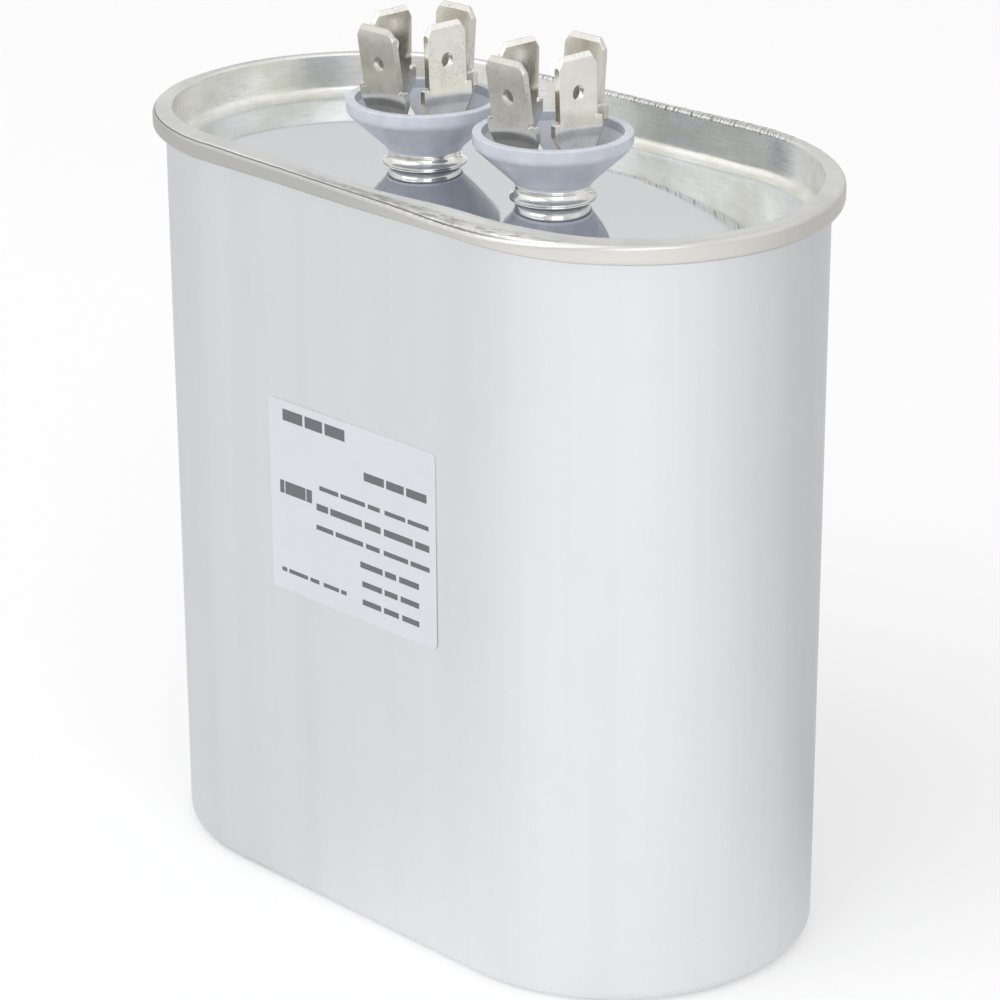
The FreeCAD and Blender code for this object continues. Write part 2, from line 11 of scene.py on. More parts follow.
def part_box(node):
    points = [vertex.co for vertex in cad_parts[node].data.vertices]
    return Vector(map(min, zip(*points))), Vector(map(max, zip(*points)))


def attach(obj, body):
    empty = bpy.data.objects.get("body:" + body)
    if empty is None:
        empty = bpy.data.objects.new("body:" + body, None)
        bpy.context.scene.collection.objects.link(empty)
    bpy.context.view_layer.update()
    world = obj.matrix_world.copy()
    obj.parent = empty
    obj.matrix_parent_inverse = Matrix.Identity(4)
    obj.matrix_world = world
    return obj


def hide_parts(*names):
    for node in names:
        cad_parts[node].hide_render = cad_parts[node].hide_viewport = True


# Dresses an oval motor run capacitor: its drawn can, seamed lid, label, ferrules, cups and blades.
# Metres, in the frame's own axes: +Z up, X along the oval's long side, the label on the -Y face.

bl_info = {
    "name": "Oval Motor Run Capacitor",
    "version": (1, 0, 0),
    "blender": (4, 5, 0),
    "location": "View3D > Sidebar > Capacitor",
    "description": "Builds the visible skin and finishes of an oval motor run capacitor",
    "category": "Object",
}

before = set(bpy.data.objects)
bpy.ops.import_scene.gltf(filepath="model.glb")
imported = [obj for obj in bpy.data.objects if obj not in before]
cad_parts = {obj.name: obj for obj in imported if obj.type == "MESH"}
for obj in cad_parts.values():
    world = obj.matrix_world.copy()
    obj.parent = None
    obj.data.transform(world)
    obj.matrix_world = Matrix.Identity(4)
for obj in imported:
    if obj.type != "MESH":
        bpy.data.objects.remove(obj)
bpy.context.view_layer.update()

MM = 0.001
BODY = "root"
SIDES = ("left", "right")

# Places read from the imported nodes.
LABEL_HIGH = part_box("label")[1]
LID_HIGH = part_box("lid")[1]
HALF_WIDTH = -LABEL_HIGH.y
HALF_STRAIGHT = LID_HIGH.x - LID_HIGH.y
SEAM_TOP = LID_HIGH.z
PANEL_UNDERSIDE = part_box("interrupter_plate")[1].z
TERMINAL_X = {side: sum(corner.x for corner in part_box(f"insulator_cup_{side}"))/2 for side in SIDES}
CUP_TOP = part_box("insulator_cup_left")[1].z
CUP_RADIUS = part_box("insulator_cup_left")[1].y
FERRULE_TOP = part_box("terminal_ferrule_left")[1].z


def size(text, value, about, **options):
    """A length property, shown and stored in metres."""
    return FloatProperty(name=text, description=about, default=value, unit="LENGTH", precision=5,
                         **options)


def colour(text, value, about):
    return FloatVectorProperty(name=text, description=about, default=value, subtype="COLOR",
                               size=3, min=0, max=1)


class SeamSizes(bpy.types.PropertyGroup):
    """The can's sheet, the lid's sheet and the rolled seam that joins them."""
    can_sheet: size("Can sheet", 0.45*MM, "Thickness of the can's aluminium")
    can_foot: size("Foot radius", 1.8*MM, "Outer radius where the can's wall meets its base")
    lid_sheet: size("Lid sheet", 0.4*MM, "Thickness of the lid's tinplate")
    gap: size("Seam gap", 0.12*MM, "Room for sealing compound between the rolled sheets")
    height: size("Seam height", 3.0*MM, "Height of the rolled seam")
    inner_bend: size("Lip bend", 0.45*MM, "Middle radius where the lid's wall turns out")
    outer_bend: size("Shoulder bend", 0.65*MM, "Middle radius where the seam's top turns down")
    foot_bend: size("Panel bend", 1.8*MM, "Middle radius where the lid's panel turns up")
    taper: FloatProperty(name="Wall taper", description="Lean of the lid's wall", unit="ROTATION",
                         default=math.radians(5))
    slope: FloatProperty(name="Top slope", description="Outward fall of the seam's top",
                         unit="ROTATION", default=math.radians(10))


class WearSizes(bpy.types.PropertyGroup):
    """Small unevenness that rolling and handling left in the sheet metal."""
    can_wave: size("Can wave", 0.03*MM, "Height of the soft waves in the can's wall")
    wrinkle: size("Lip wrinkle", 0.13*MM, "Depth of the wrinkles that rolling left on the lip")
    wrinkle_pitch: size("Wrinkle pitch", 0.95*MM, "Usual distance between two wrinkles")
    crease: size("Crest crease", 0.09*MM, "Depth of the crease along the seam's crest")
    nick: size("Nick", 0.1*MM, "Depth of the nicks on the seam")
    panel_wave: size("Panel wave", 0.008*MM, "Height of the slow waves in the lid's panel")


class TerminalSizes(bpy.types.PropertyGroup):
    """Ferrule and cup profiles, as heights above the lid's panel and radii about the terminal."""
    ferrule_sheet: size("Ferrule sheet", 0.4*MM, "Wall of the ferrule's neck")
    ferrule_radius: size("Ferrule radius", 4.55*MM, "Outer radius of the ferrule's neck")
    flare_height: size("Flare height", 1.35*MM, "Height where the ferrule's neck starts to flare")
    lip_radius: size("Lip radius", 5.27*MM, "Radius of the ferrule's flared lip")
    lip_height: size("Lip height", 0.2*MM, "Height of the lip's edge above the panel")
    cup_wall: size("Cup wall", 1.15*MM, "Thickness of the cup's wall")
    cone_top: size("Cone top", 6.47*MM, "Height where the cone would meet the upright band")
    shoulder: size("Cup shoulder", 1.1*MM, "Rounding between the cone and the band")
    cone_foot_radius: size("Cone foot radius", 4.75*MM, "Outer radius of the cone's foot")
    cone_foot: size("Cone foot", 1.85*MM, "Height of the cone's foot")
    floor: size("Cup floor", 2.5*MM, "Height of the cup's floor inside")
    bore: size("Rivet bore", 1.55*MM, "Radius of the hole for the rivet")
    edge: size("Moulded edge", 0.15*MM, "Rounding on the cup's edges")
    blade_edge: size("Blade edge", 0.05*MM, "Rounding that the press left on the blades' edges")
    turns: IntProperty(name="Turned segments", description="Segments round a terminal",
                       default=144, min=24)


class Finishes(bpy.types.PropertyGroup):
    """Colours of the metals, mouldings and films."""
    aluminium: colour("Aluminium", (0.71, 0.715, 0.735), "The can's drawn aluminium")
    tinplate: colour("Tinplate", (0.73, 0.73, 0.715), "The lid's tinned steel")
    panel: colour("Panel", (0.69, 0.71, 0.735), "The lid's mirror-like panel")
    blades: colour("Blades", (0.72, 0.70, 0.65), "Tin on the outer strips' blades")
    # Painted light: the same tin as the outer strips' blades, painted lighter for the light the inner
    # strips catch.
    blades_painted_lighter: colour("Blades painted lighter", (0.93, 0.915, 0.87), "Tin on the inner strips' blades")
    ferrule: colour("Ferrule", (0.80, 0.795, 0.77), "Polished tin on the ferrules and rivets")
    cup: colour("Cup", (0.60, 0.63, 0.705), "Moulded insulator")
    label: colour("Label", (0.64, 0.66, 0.70), "Label film")
    ink: colour("Ink", (0.07, 0.072, 0.08), "Label's printed bars")


class StageSizes(bpy.types.PropertyGroup):
    """Camera and lamps."""
    azimuth: FloatProperty(name="Camera azimuth", description="Turn of the camera about the part",
                           unit="ROTATION", default=math.radians(45.35))
    elevation: FloatProperty(name="Camera elevation", description="Camera's angle above level",
                             unit="ROTATION", default=math.radians(21.31))
    roll: FloatProperty(name="Camera roll", description="Camera's turn about its own axis",
                        unit="ROTATION", default=-0.00378)
    distance: size("Camera distance", 0.452707, "From the target to the camera")
    target: FloatVectorProperty(name="Target", description="Point in the middle of the view",
                                default=(0.001911, -0.000011, 0.050554), subtype="TRANSLATION")
    lens: FloatProperty(name="Lens", description="Focal length on a 36 mm sensor, in millimetres",
                        default=128.59)
    key: FloatProperty(name="Key lamp", description="Power of the large lamp, in watts",
                       default=1.6)
    fill: FloatProperty(name="Fill lamp", description="Power of the side lamp, in watts",
                        default=0.6)
    sky: FloatProperty(name="Sky", description="Level of the light from all round", default=0.78)
    front: FloatProperty(name="Front", description="Further light from the front", default=0.65)


def sizes(name):
    return getattr(bpy.context.scene, "capacitor_" + name)


# Profiles: a sheet's section is two columns, the distance out and the height.

def heading_step(length, angle):
    return np.array([math.cos(angle), math.sin(angle)])*length


def bent_sheet(start, heading, moves, thickness):
    """Both faces of a bent sheet's section, from the path of its middle line.

    A move is ("go", length, pieces) or ("bend", middle radius, angle, pieces), with a positive
    angle to the left. A straight stretch is start + t*direction; a bend is centre plus the radius
    turned through t*angle. Each face is the middle line moved half the thickness along its normal.
    """
    point, middle, normals = np.array(start, float), [], []
    for move in moves:
        t = np.linspace(0, 1, move[-1] + 1)[:, None]
        if move[0] == "go":
            step = heading_step(move[1], heading)
            middle.append(point + t*step)
            normals.append(np.repeat([[-math.sin(heading), math.cos(heading)]], len(t), 0))
            point = point + step
        else:
            radius, turn = move[1], move[2]
            side = math.copysign(1, turn)
            centre = point + heading_step(side*radius, heading + math.pi/2)
            angle = heading + t*turn
            left = np.hstack([-np.sin(angle), np.cos(angle)])
            middle.append(centre - side*radius*left)
            normals.append(left)
            heading += turn
            point = middle[-1][-1]
    middle, normals = np.vstack(middle), np.vstack(normals)
    kept = np.r_[True, np.linalg.norm(np.diff(middle, axis=0), axis=1) > 1e-9]
    middle, normals = middle[kept], normals[kept]
    return middle + normals*thickness/2, middle - normals*thickness/2


def rounded(points, radii, pieces=5):
    """Polyline with its corners rounded: each corner is an arc that touches both its sides.

    The arc's points are centre + radius*(cos, sin) between the two tangent points, which lie
    radius*tan(half the turn) from the corner.
    """
    points = np.array(points, float)
    out = [points[:1]]
    for i, radius in zip(range(1, len(points) - 1), radii):
        before = points[i - 1] - points[i]
        after = points[i + 1] - points[i]
        before /= np.linalg.norm(before)
        after /= np.linalg.norm(after)
        if radius <= 0:
            out.append(points[i:i + 1])
            continue
        half = math.acos(float(np.clip(before @ after, -1, 1)))/2
        bisector = (before + after)/np.linalg.norm(before + after)
        centre = points[i] + bisector*radius/math.sin(half)
        t = np.linspace(0, 1, pieces + 1)[:, None]
        first = points[i] + before*radius/math.tan(half) - centre
        last = points[i] + after*radius/math.tan(half) - centre
        arc = first*(1 - t) + last*t
        arc *= radius/np.linalg.norm(arc, axis=1, keepdims=True)
        out.append(centre + arc)
    out.append(points[-1:])
    return np.vstack(out)


def oval_path(spacings):
    """Points round the can's oval: end axis, outward normal and the length along the can's wall.

    spacings holds the distance between points on the left end, the front, the right end and the
    back. An end is (cos, sin) of an even sweep about its axis; a side is an even run. The last
    point lies on the first, one whole turn on.
    """
    half_turn = math.pi*HALF_WIDTH
    run = 2*HALF_STRAIGHT
    spans = []
    for length, spacing in zip((half_turn, run, half_turn, run), spacings):
        spans.append(np.linspace(0, 1, int(round(length/spacing)), endpoint=False))
    left, front, right, back = spans
    back = np.r_[back, 1.0]
    turn_left = math.pi/2 + math.pi*left
    turn_right = -math.pi/2 + math.pi*right
    axis = np.r_[np.full(len(left), -HALF_STRAIGHT), -HALF_STRAIGHT + run*front,
                 np.full(len(right), HALF_STRAIGHT), HALF_STRAIGHT - run*back]
    normal_x = np.r_[np.cos(turn_left), np.zeros(len(front)), np.cos(turn_right),
                     np.zeros(len(back))]
    normal_y = np.r_[np.sin(turn_left), -np.ones(len(front)), np.sin(turn_right),
                     np.ones(len(back))]
    along = np.r_[half_turn*left, half_turn + run*front, half_turn + run + half_turn*right,
                  2*half_turn + run + run*back]
    return axis, np.stack([normal_x, normal_y], 1), along


def section_normals(section):
    """Unit normals of a section's polyline, to the left of its direction."""
    run = np.vstack([section[1:], section[-1:]]) - np.vstack([section[:1], section[:-1]])
    normals = np.stack([-run[:, 1], run[:, 0]], 1)
    return normals/np.maximum(np.linalg.norm(normals, axis=1, keepdims=True), 1e-12)


def section_lengths(section):
    steps = np.linalg.norm(np.diff(section, axis=0), axis=1)
    return np.r_[0, np.cumsum(steps)]


def grid_faces(rows, columns, wrap_rows, wrap_columns, first=0):
    """Quads between neighbours of a grid whose vertices are numbered row by row."""
    row = np.arange(rows if wrap_rows else rows - 1)
    column = np.arange(columns if wrap_columns else columns - 1)
    i, j = np.meshgrid(row, column, indexing="ij")
    i2, j2 = (i + 1) % rows, (j + 1) % columns
    quads = np.stack([i*columns + j, i2*columns + j, i2*columns + j2, i*columns + j2], -1)
    return first + quads.reshape(-1, 4)


def mesh_piece(name, vertices, faces, uv=None, sharp=math.radians(40)):
    """Mesh object from arrays: doubles merged, faces outwards, edges past sharp kept crisp."""
    mesh = bpy.data.meshes.new(name)
    mesh.from_pydata(vertices.tolist(), [], [list(map(int, face)) for face in faces])
    if uv is not None:
        loops = np.zeros(len(mesh.loops), np.int32)
        mesh.loops.foreach_get("vertex_index", loops)
        layer = mesh.uv_layers.new(name="Sheet")
        layer.data.foreach_set("uv", uv[loops].astype(np.float32).ravel())
    work = bmesh.new()
    work.from_mesh(mesh)
    bmesh.ops.remove_doubles(work, verts=work.verts, dist=1e-8)
    bmesh.ops.dissolve_degenerate(work, edges=work.edges, dist=1e-8)
    if work.calc_volume(signed=True) < 0:
        bmesh.ops.reverse_faces(work, faces=work.faces)
    for face in work.faces:
        face.smooth = True
    for edge in work.edges:
        edge.smooth = edge.calc_face_angle(0) < sharp
    work.to_mesh(mesh)
    work.free()
    piece = bpy.data.objects.new(name, mesh)
    bpy.context.scene.collection.objects.link(piece)
    return piece


def carried_round(section, path, displacement=None):
    """Closed section carried round the oval.

    A point is axis + normal*distance out, at the section's height; displacement moves it along
    the section's own normal, and the seam's settling lowers it.
    """
    axis, normal, along = path
    out = np.repeat(section[None, :, 0], len(axis), 0)
    height = np.repeat(section[None, :, 1], len(axis), 0)
    lowered = settled(along, out, height)
    if displacement is not None:
        displacement[-1] = displacement[0]
        lean = section_normals(section)
        out = out + displacement*lean[:, 0]
        height = height + displacement*lean[:, 1]
    x = axis[:, None] + normal[:, :1]*out
    y = normal[:, 1:]*out
    vertices = np.stack([x, y, height - lowered], -1).reshape(-1, 3)
    lengths = section_lengths(section)
    uv = np.stack(np.meshgrid(along, lengths, indexing="ij"), -1).reshape(-1, 2)
    return vertices, grid_faces(len(axis), len(section), False, False), uv


def turned_round(section, x, segments):
    """Closed section turned about the upright axis at x: (x + r cos, r sin, height)."""
    angle = np.linspace(0, 2*math.pi, segments, endpoint=False)[:, None]
    r, z = section[None, :, 0], section[None, :, 1]
    vertices = np.stack([x + r*np.cos(angle), r*np.sin(angle), z + 0*angle], -1).reshape(-1, 3)
    return vertices, grid_faces(segments, len(section), True, True)


def smooth_step(value, low, high):
    """0 below low and 1 above high, with the cubic 3t^2 - 2t^3 between."""
    t = np.clip((value - low)/(high - low), 0, 1)
    return t*t*(3 - 2*t)


def round_gap(along, place):
    """Signed distance along the oval from a place, the shorter way round."""
    turn = 2*math.pi*HALF_WIDTH + 4*HALF_STRAIGHT
    return (along - place + turn/2) % turn - turn/2


# How far the rolled seam has sunk: place along the wall, then the drops of its lip, its shoulder
# and its foot, in mm.
SETTLED = (
    (0.0, 0.0, 0.55, 0.0), (12.0, 0.0, 0.65, 0.0), (24.7, 0.0, 0.75, 0.0), (31.0, 0.0, 0.6, 0.0),
    (40.0, 0.0, 0.4, 0.0), (53.0, 0.0, 0.25, 0.0), (66.0, 0.05, 0.2, 0.0), (79.0, 0.1, 0.3, 0.15),
    (89.0, 0.4, 0.6, 0.2), (99.0, 0.9, 0.8, 0.35), (105.0, 1.1, 1.0, 0.5),
    (112.0, 0.8, 1.15, 0.45), (120.0, 0.45, 1.6, 0.45), (126.0, 0.55, 1.6, 0.5),
    (131.0, 0.8, 1.5, 1.0), (139.0, 1.3, 1.25, 1.1), (149.0, 1.5, 1.2, 1.2),
    (158.0, 1.4, 1.1, 1.2), (168.0, 0.9, 0.95, 1.1), (176.0, 0.4, 0.7, 0.9),
    (185.0, 0.1, 0.5, 0.5), (195.0, 0.0, 0.3, 0.1), (203.5, 0.0, 0.0, 0.0),
    (211.0, 0.0, 0.12, 0.0), (219.0, 0.0, 0.32, 0.0), (235.0, 0.0, 0.35, 0.0),
)


def settled(along, out, height):
    """How far the seam has sunk at each point, with a row of points for each place along.

    The table's rows are averaged with the weights exp(-(gap/6 mm)^2). The drop is blended by the
    distance out between lip and shoulder, by the height between shoulder and foot, and grows from
    nothing up the lid's wall.
    """
    table = np.array(SETTLED)*MM
    weight = np.exp(-(round_gap(along[:, None], table[:, 0])/(6*MM))**2)
    drops = weight @ table[:, 1:]/weight.sum(1, keepdims=True)
    lip, shoulder, foot = (drops[:, k, None] for k in range(3))
    across = np.clip((out - HALF_WIDTH + 0.8*MM)/(2.2*MM), 0, 1)
    down = np.clip((SEAM_TOP - 0.9*MM - height)/(2.1*MM), 0, 1)
    rolled = (lip + (shoulder - lip)*across)*(1 - down) + foot*down
    rolled = rolled*smooth_step(height, SEAM_TOP - 6*MM, SEAM_TOP - 3*MM)
    wall = lip*smooth_step(height, PANEL_UNDERSIDE + 2*MM, SEAM_TOP - 0.5*MM)
    return np.where(out < HALF_WIDTH - 0.85*MM, wall, rolled)


def rolling_noise(position, pitch, seed):
    """Uneven waves from -1 to 1: a sum of sines of nearby pitches and seeded phases."""
    draw = np.random.default_rng(seed)
    total = np.zeros_like(position)
    for share in (0.62, 0.83, 1.0, 1.27, 1.9, 3.1):
        phase = draw.uniform(0, 2*math.pi)
        total += draw.uniform(0.5, 1.0)*np.sin(2*math.pi*position/(pitch*share) + phase)
    return total/np.abs(total).max()


def finish_piece(piece, material, slot, *replaced):
    piece.data.materials.clear()
    piece.data.materials.append(material)
    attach(piece, BODY)
    if replaced:
        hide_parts(*replaced)
    return piece


# Shader helpers and the effects that several finishes share.

def add_node(tree, kind, **settings):
    node = tree.nodes.new(kind)
    for key, value in settings.items():
        setattr(node, key, value)
    return node


def join(tree, source, target):
    """Links two sockets, or sets the target socket when the source is a plain value."""
    if isinstance(source, bpy.types.NodeSocket):
        tree.links.new(source, target)
    else:
        target.default_value = source


def math_node(tree, operation, first, second=0.0, third=None, clamp=False):
    node = add_node(tree, "ShaderNodeMath", operation=operation, use_clamp=clamp)
    join(tree, first, node.inputs[0])
    join(tree, second, node.inputs[1])
    if third is not None:
        join(tree, third, node.inputs[2])
    return node.outputs[0]


def noise(tree, vector, scale, detail=3.0, roughness=0.5):
    node = add_node(tree, "ShaderNodeTexNoise")
    join(tree, vector, node.inputs["Vector"])
    join(tree, scale, node.inputs["Scale"])
    node.inputs["Detail"].default_value = detail
    node.inputs["Roughness"].default_value = roughness
    return node.outputs["Fac"]


def stretch(tree, vector, factors):
    node = add_node(tree, "ShaderNodeVectorMath", operation="MULTIPLY")
    join(tree, vector, node.inputs[0])
    node.inputs[1].default_value = factors
    return node.outputs[0]


def remap(tree, value, low, high, to_low, to_high):
    node = add_node(tree, "ShaderNodeMapRange")
    join(tree, value, node.inputs["Value"])
    for name, setting in (("From Min", low), ("From Max", high), ("To Min", to_low),
                          ("To Max", to_high)):
        join(tree, setting, node.inputs[name])
    return node.outputs["Result"]


def mix_colour(tree, mask, first, second):
    """Blend of two colours; a colour is a socket or a triple."""
    node = add_node(tree, "ShaderNodeMix", data_type="RGBA")
    join(tree, mask, node.inputs[0])
    for value, target in ((first, node.inputs[6]), (second, node.inputs[7])):
        if not isinstance(value, bpy.types.NodeSocket):
            value = (*value[:3], 1)
        join(tree, value, target)
    return node.outputs[2]


def window(tree, value, low, high, soft):
    """1 where the value lies between low and high, eased over soft on both sides of each."""
    rise = remap(tree, value, low - soft, low + soft, 0, 1)
    fall = remap(tree, value, high - soft, high + soft, 1, 0)
    return math_node(tree, "MULTIPLY", rise, fall)


def product(tree, *values):
    total = values[0]
    for value in values[1:]:
        total = math_node(tree, "MULTIPLY", total, value)
    return total


def either(tree, first, second):
    return math_node(tree, "MAXIMUM", first, second)


def bump(tree, height, distance, strength=1.0):
    node = add_node(tree, "ShaderNodeBump")
    node.inputs["Distance"].default_value = distance
    node.inputs["Strength"].default_value = strength
    join(tree, height, node.inputs["Height"])
    return node.outputs["Normal"]


def object_place(tree):
    return add_node(tree, "ShaderNodeTexCoord").outputs["Object"]


def new_group(name, inputs, outputs):
    """Empty shader node group with named sockets: its tree, input node and output node."""
    tree = bpy.data.node_groups.new(name, "ShaderNodeTree")
    for label, kind, value in inputs:
        socket = tree.interface.new_socket(label, in_out="INPUT", socket_type=kind)
        if value is not None:
            socket.default_value = value
    for label, kind in outputs:
        tree.interface.new_socket(label, in_out="OUTPUT", socket_type=kind)
    return tree, add_node(tree, "NodeGroupInput"), add_node(tree, "NodeGroupOutput")


def use_group(tree, name, **values):
    """Places a shared effect in a material; an underscore in a value's name is a space."""
    node = add_node(tree, "ShaderNodeGroup", node_tree=bpy.data.node_groups[name])
    for key, value in values.items():
        join(tree, value, node.inputs[key.replace("_", " ")])
    return node


def build_drawn_grain():
    """Drawn Grain: fine lines along the drawing direction, and soft cloudy mottle.

    Lines is noise squeezed along Z, so that it hardly changes upwards; Mottle is plain noise.
    """
    tree, given, result = new_group(
        "Drawn Grain",
        [("Vector", "NodeSocketVector", None), ("Line Scale", "NodeSocketFloat", 2500.0),
         ("Mottle Scale", "NodeSocketFloat", 90.0)],
        [("Lines", "NodeSocketFloat"), ("Mottle", "NodeSocketFloat")])
    squeezed = stretch(tree, given.outputs["Vector"], (1, 1, 0.012))
    fine = noise(tree, squeezed, given.outputs["Line Scale"], 2.0, 0.6)
    coarser = math_node(tree, "MULTIPLY", given.outputs["Line Scale"], 0.13)
    broad = noise(tree, squeezed, coarser, 3.0)
    shared = math_node(tree, "MULTIPLY", broad, 0.45)
    join(tree, math_node(tree, "MULTIPLY_ADD", fine, 0.55, shared), result.inputs["Lines"])
    join(tree, noise(tree, given.outputs["Vector"], given.outputs["Mottle Scale"], 5.0, 0.6),
         result.inputs["Mottle"])


def build_specks():
    """Specks and Scuffs: sparse dots and short rubbed marks.

    Specks are the middles of scattered cells that a second noise lets through; scuffs are the
    peaks of a stretched noise inside the peaks of a broad one.
    """
    tree, given, result = new_group(
        "Specks and Scuffs",
        [("Vector", "NodeSocketVector", None), ("Speck Scale", "NodeSocketFloat", 700.0),
         ("Amount", "NodeSocketFloat", 0.5)],
        [("Specks", "NodeSocketFloat"), ("Scuffs", "NodeSocketFloat")])
    cells = add_node(tree, "ShaderNodeTexVoronoi", feature="F1")
    join(tree, given.outputs["Vector"], cells.inputs["Vector"])
    join(tree, given.outputs["Speck Scale"], cells.inputs["Scale"])
    dots = remap(tree, cells.outputs["Distance"], 0.05, 0.16, 1.0, 0.0)
    chosen = add_node(tree, "ShaderNodeSeparateColor")
    join(tree, cells.outputs["Color"], chosen.inputs[0])
    kept = math_node(tree, "GREATER_THAN", chosen.outputs[0],
                     math_node(tree, "SUBTRACT", 1.0,
                               math_node(tree, "MULTIPLY", given.outputs["Amount"], 0.12)))
    join(tree, math_node(tree, "MULTIPLY", dots, kept), result.inputs["Specks"])
    rubbed = noise(tree, stretch(tree, given.outputs["Vector"], (1, 1, 0.35)), 1400.0, 4.0, 0.7)
    patches = noise(tree, given.outputs["Vector"], 75.0, 2.0)
    marks = math_node(tree, "MULTIPLY", remap(tree, rubbed, 0.58, 0.68, 0.0, 1.0),
                      remap(tree, patches, 0.56, 0.68, 0.0, 1.0))
    join(tree, math_node(tree, "MULTIPLY", marks, given.outputs["Amount"], clamp=True),
         result.inputs["Scuffs"])


def build_printed_bar():
    """Printed Bar: an upright rectangle of ink on the label, broken into word-like blocks.

    A point is inside where both its distances from the centre are under half the length and half
    the height. Blocks are left out where a coarse cell pattern along X falls in its gaps.
    """
    tree, given, result = new_group(
        "Printed Bar",
        [("Vector", "NodeSocketVector", None), ("Centre X", "NodeSocketFloat", 0.0),
         ("Centre Z", "NodeSocketFloat", 0.0), ("Length", "NodeSocketFloat", 0.01),
         ("Height", "NodeSocketFloat", 0.001), ("Block", "NodeSocketFloat", 0.002),
         ("Gap", "NodeSocketFloat", 0.2)],
        [("Ink", "NodeSocketFloat")])
    place = add_node(tree, "ShaderNodeSeparateXYZ")
    join(tree, given.outputs["Vector"], place.inputs[0])
    masks = []
    for axis, centre, extent in ((0, "Centre X", "Length"), (2, "Centre Z", "Height")):
        offset = math_node(tree, "ABSOLUTE",
                           math_node(tree, "SUBTRACT", place.outputs[axis], given.outputs[centre]))
        masks.append(math_node(tree, "LESS_THAN", offset,
                               math_node(tree, "MULTIPLY", given.outputs[extent], 0.5)))
    start = math_node(tree, "SUBTRACT", place.outputs[0], given.outputs["Centre X"])
    steps = math_node(tree, "DIVIDE", start, given.outputs["Block"])
    wobble = add_node(tree, "ShaderNodeTexNoise", noise_dimensions="1D")
    join(tree, math_node(tree, "MULTIPLY_ADD", steps, 0.9, given.outputs["Centre Z"]),
         wobble.inputs["W"])
    wobble.inputs["Scale"].default_value = 1.0
    uneven = math_node(tree, "MULTIPLY_ADD", wobble.outputs["Fac"], 1.1, steps)
    kept = math_node(tree, "GREATER_THAN", math_node(tree, "FRACT", uneven), given.outputs["Gap"])
    inked = math_node(tree, "MULTIPLY", masks[0], masks[1])
    join(tree, math_node(tree, "MULTIPLY", inked, kept), result.inputs["Ink"])


def build_moulded_skin():
    """Moulded Skin: faint flow clouds and a fine pebble of a moulded plastic."""
    tree, given, result = new_group(
        "Moulded Skin",
        [("Vector", "NodeSocketVector", None), ("Scale", "NodeSocketFloat", 400.0)],
        [("Flow", "NodeSocketFloat"), ("Pebble", "NodeSocketFloat")])
    join(tree, noise(tree, given.outputs["Vector"], given.outputs["Scale"], 3.0),
         result.inputs["Flow"])
    fine = math_node(tree, "MULTIPLY", given.outputs["Scale"], 14.0)
    join(tree, noise(tree, given.outputs["Vector"], fine, 2.0), result.inputs["Pebble"])


def new_material(name, **settings):
    """Material with one Principled shader; settings are constants on the shader's own sockets."""
    material = bpy.data.materials.new(name)
    material.use_nodes = True
    shader = material.node_tree.nodes["Principled BSDF"]
    for key, value in settings.items():
        socket = shader.inputs[key.replace("_", " ")]
        if socket.type == "RGBA":
            value = (*value[:3], 1)
        socket.default_value = value
    return material, material.node_tree, shader


def tinted(rgb, factor):
    return tuple(min(1.0, channel*factor) for channel in rgb)


def aluminium_finish():
    """Satin drawn aluminium: soft upright bands, faint smudges and sparse short light dashes."""
    base = sizes("finishes").aluminium
    material, tree, shader = new_material("Drawn Aluminium", Metallic=1.0)
    place = object_place(tree)
    grain = use_group(tree, "Drawn Grain", Vector=place)
    lines, mottle = grain.outputs["Lines"], grain.outputs["Mottle"]
    bands = noise(tree, stretch(tree, place, (1, 1, 0.02)), 170.0, 3.0, 0.6)
    dashes = noise(tree, stretch(tree, place, (1, 1, 0.22)), 3000.0, 2.0, 0.5)
    tone = mix_colour(tree, remap(tree, bands, 0.35, 0.65, 0, 1), tinted(base, 0.975),
                      tinted(base, 1.015))
    tone = mix_colour(tree, remap(tree, lines, 0.35, 0.65, 0, 0.35), tone, tinted(base, 1.03))
    tone = mix_colour(tree, remap(tree, mottle, 0.5, 0.75, 0, 0.4), tone, tinted(base, 0.95))
    tone = mix_colour(tree, remap(tree, dashes, 0.7, 0.76, 0, 0.5), tone, tinted(base, 1.14))
    join(tree, tone, shader.inputs["Base Color"])
    satin = remap(tree, bands, 0.3, 0.7, 0.36, 0.4)
    join(tree, math_node(tree, "MULTIPLY_ADD", mottle, 0.06, satin), shader.inputs["Roughness"])
    join(tree, bump(tree, lines, 0.006*MM, 0.5), shader.inputs["Normal"])
    return material


# Stretches of the rim with marks or painted shade: start, end and fade along the wall, in mm.
TICKED_BACK = (196, 242, 5)
TICKED_LEFT = (-20, 48, 9)
DENTED = (100, 134, 9)
# The next stretch carries a painted shadow line along the crest's crease.
CREASE_SHADED = (54, 132, 9)
# The next stretch is where the seam's outside and dented top get painted shade.
SHADED_STRETCH = (20, 116, 14)
TICK_PITCH = 0.6*MM


def on_stretch(tree, along, stretch_of_wall):
    start, end, fade = stretch_of_wall
    return window(tree, along, start*MM, end*MM, fade*MM)


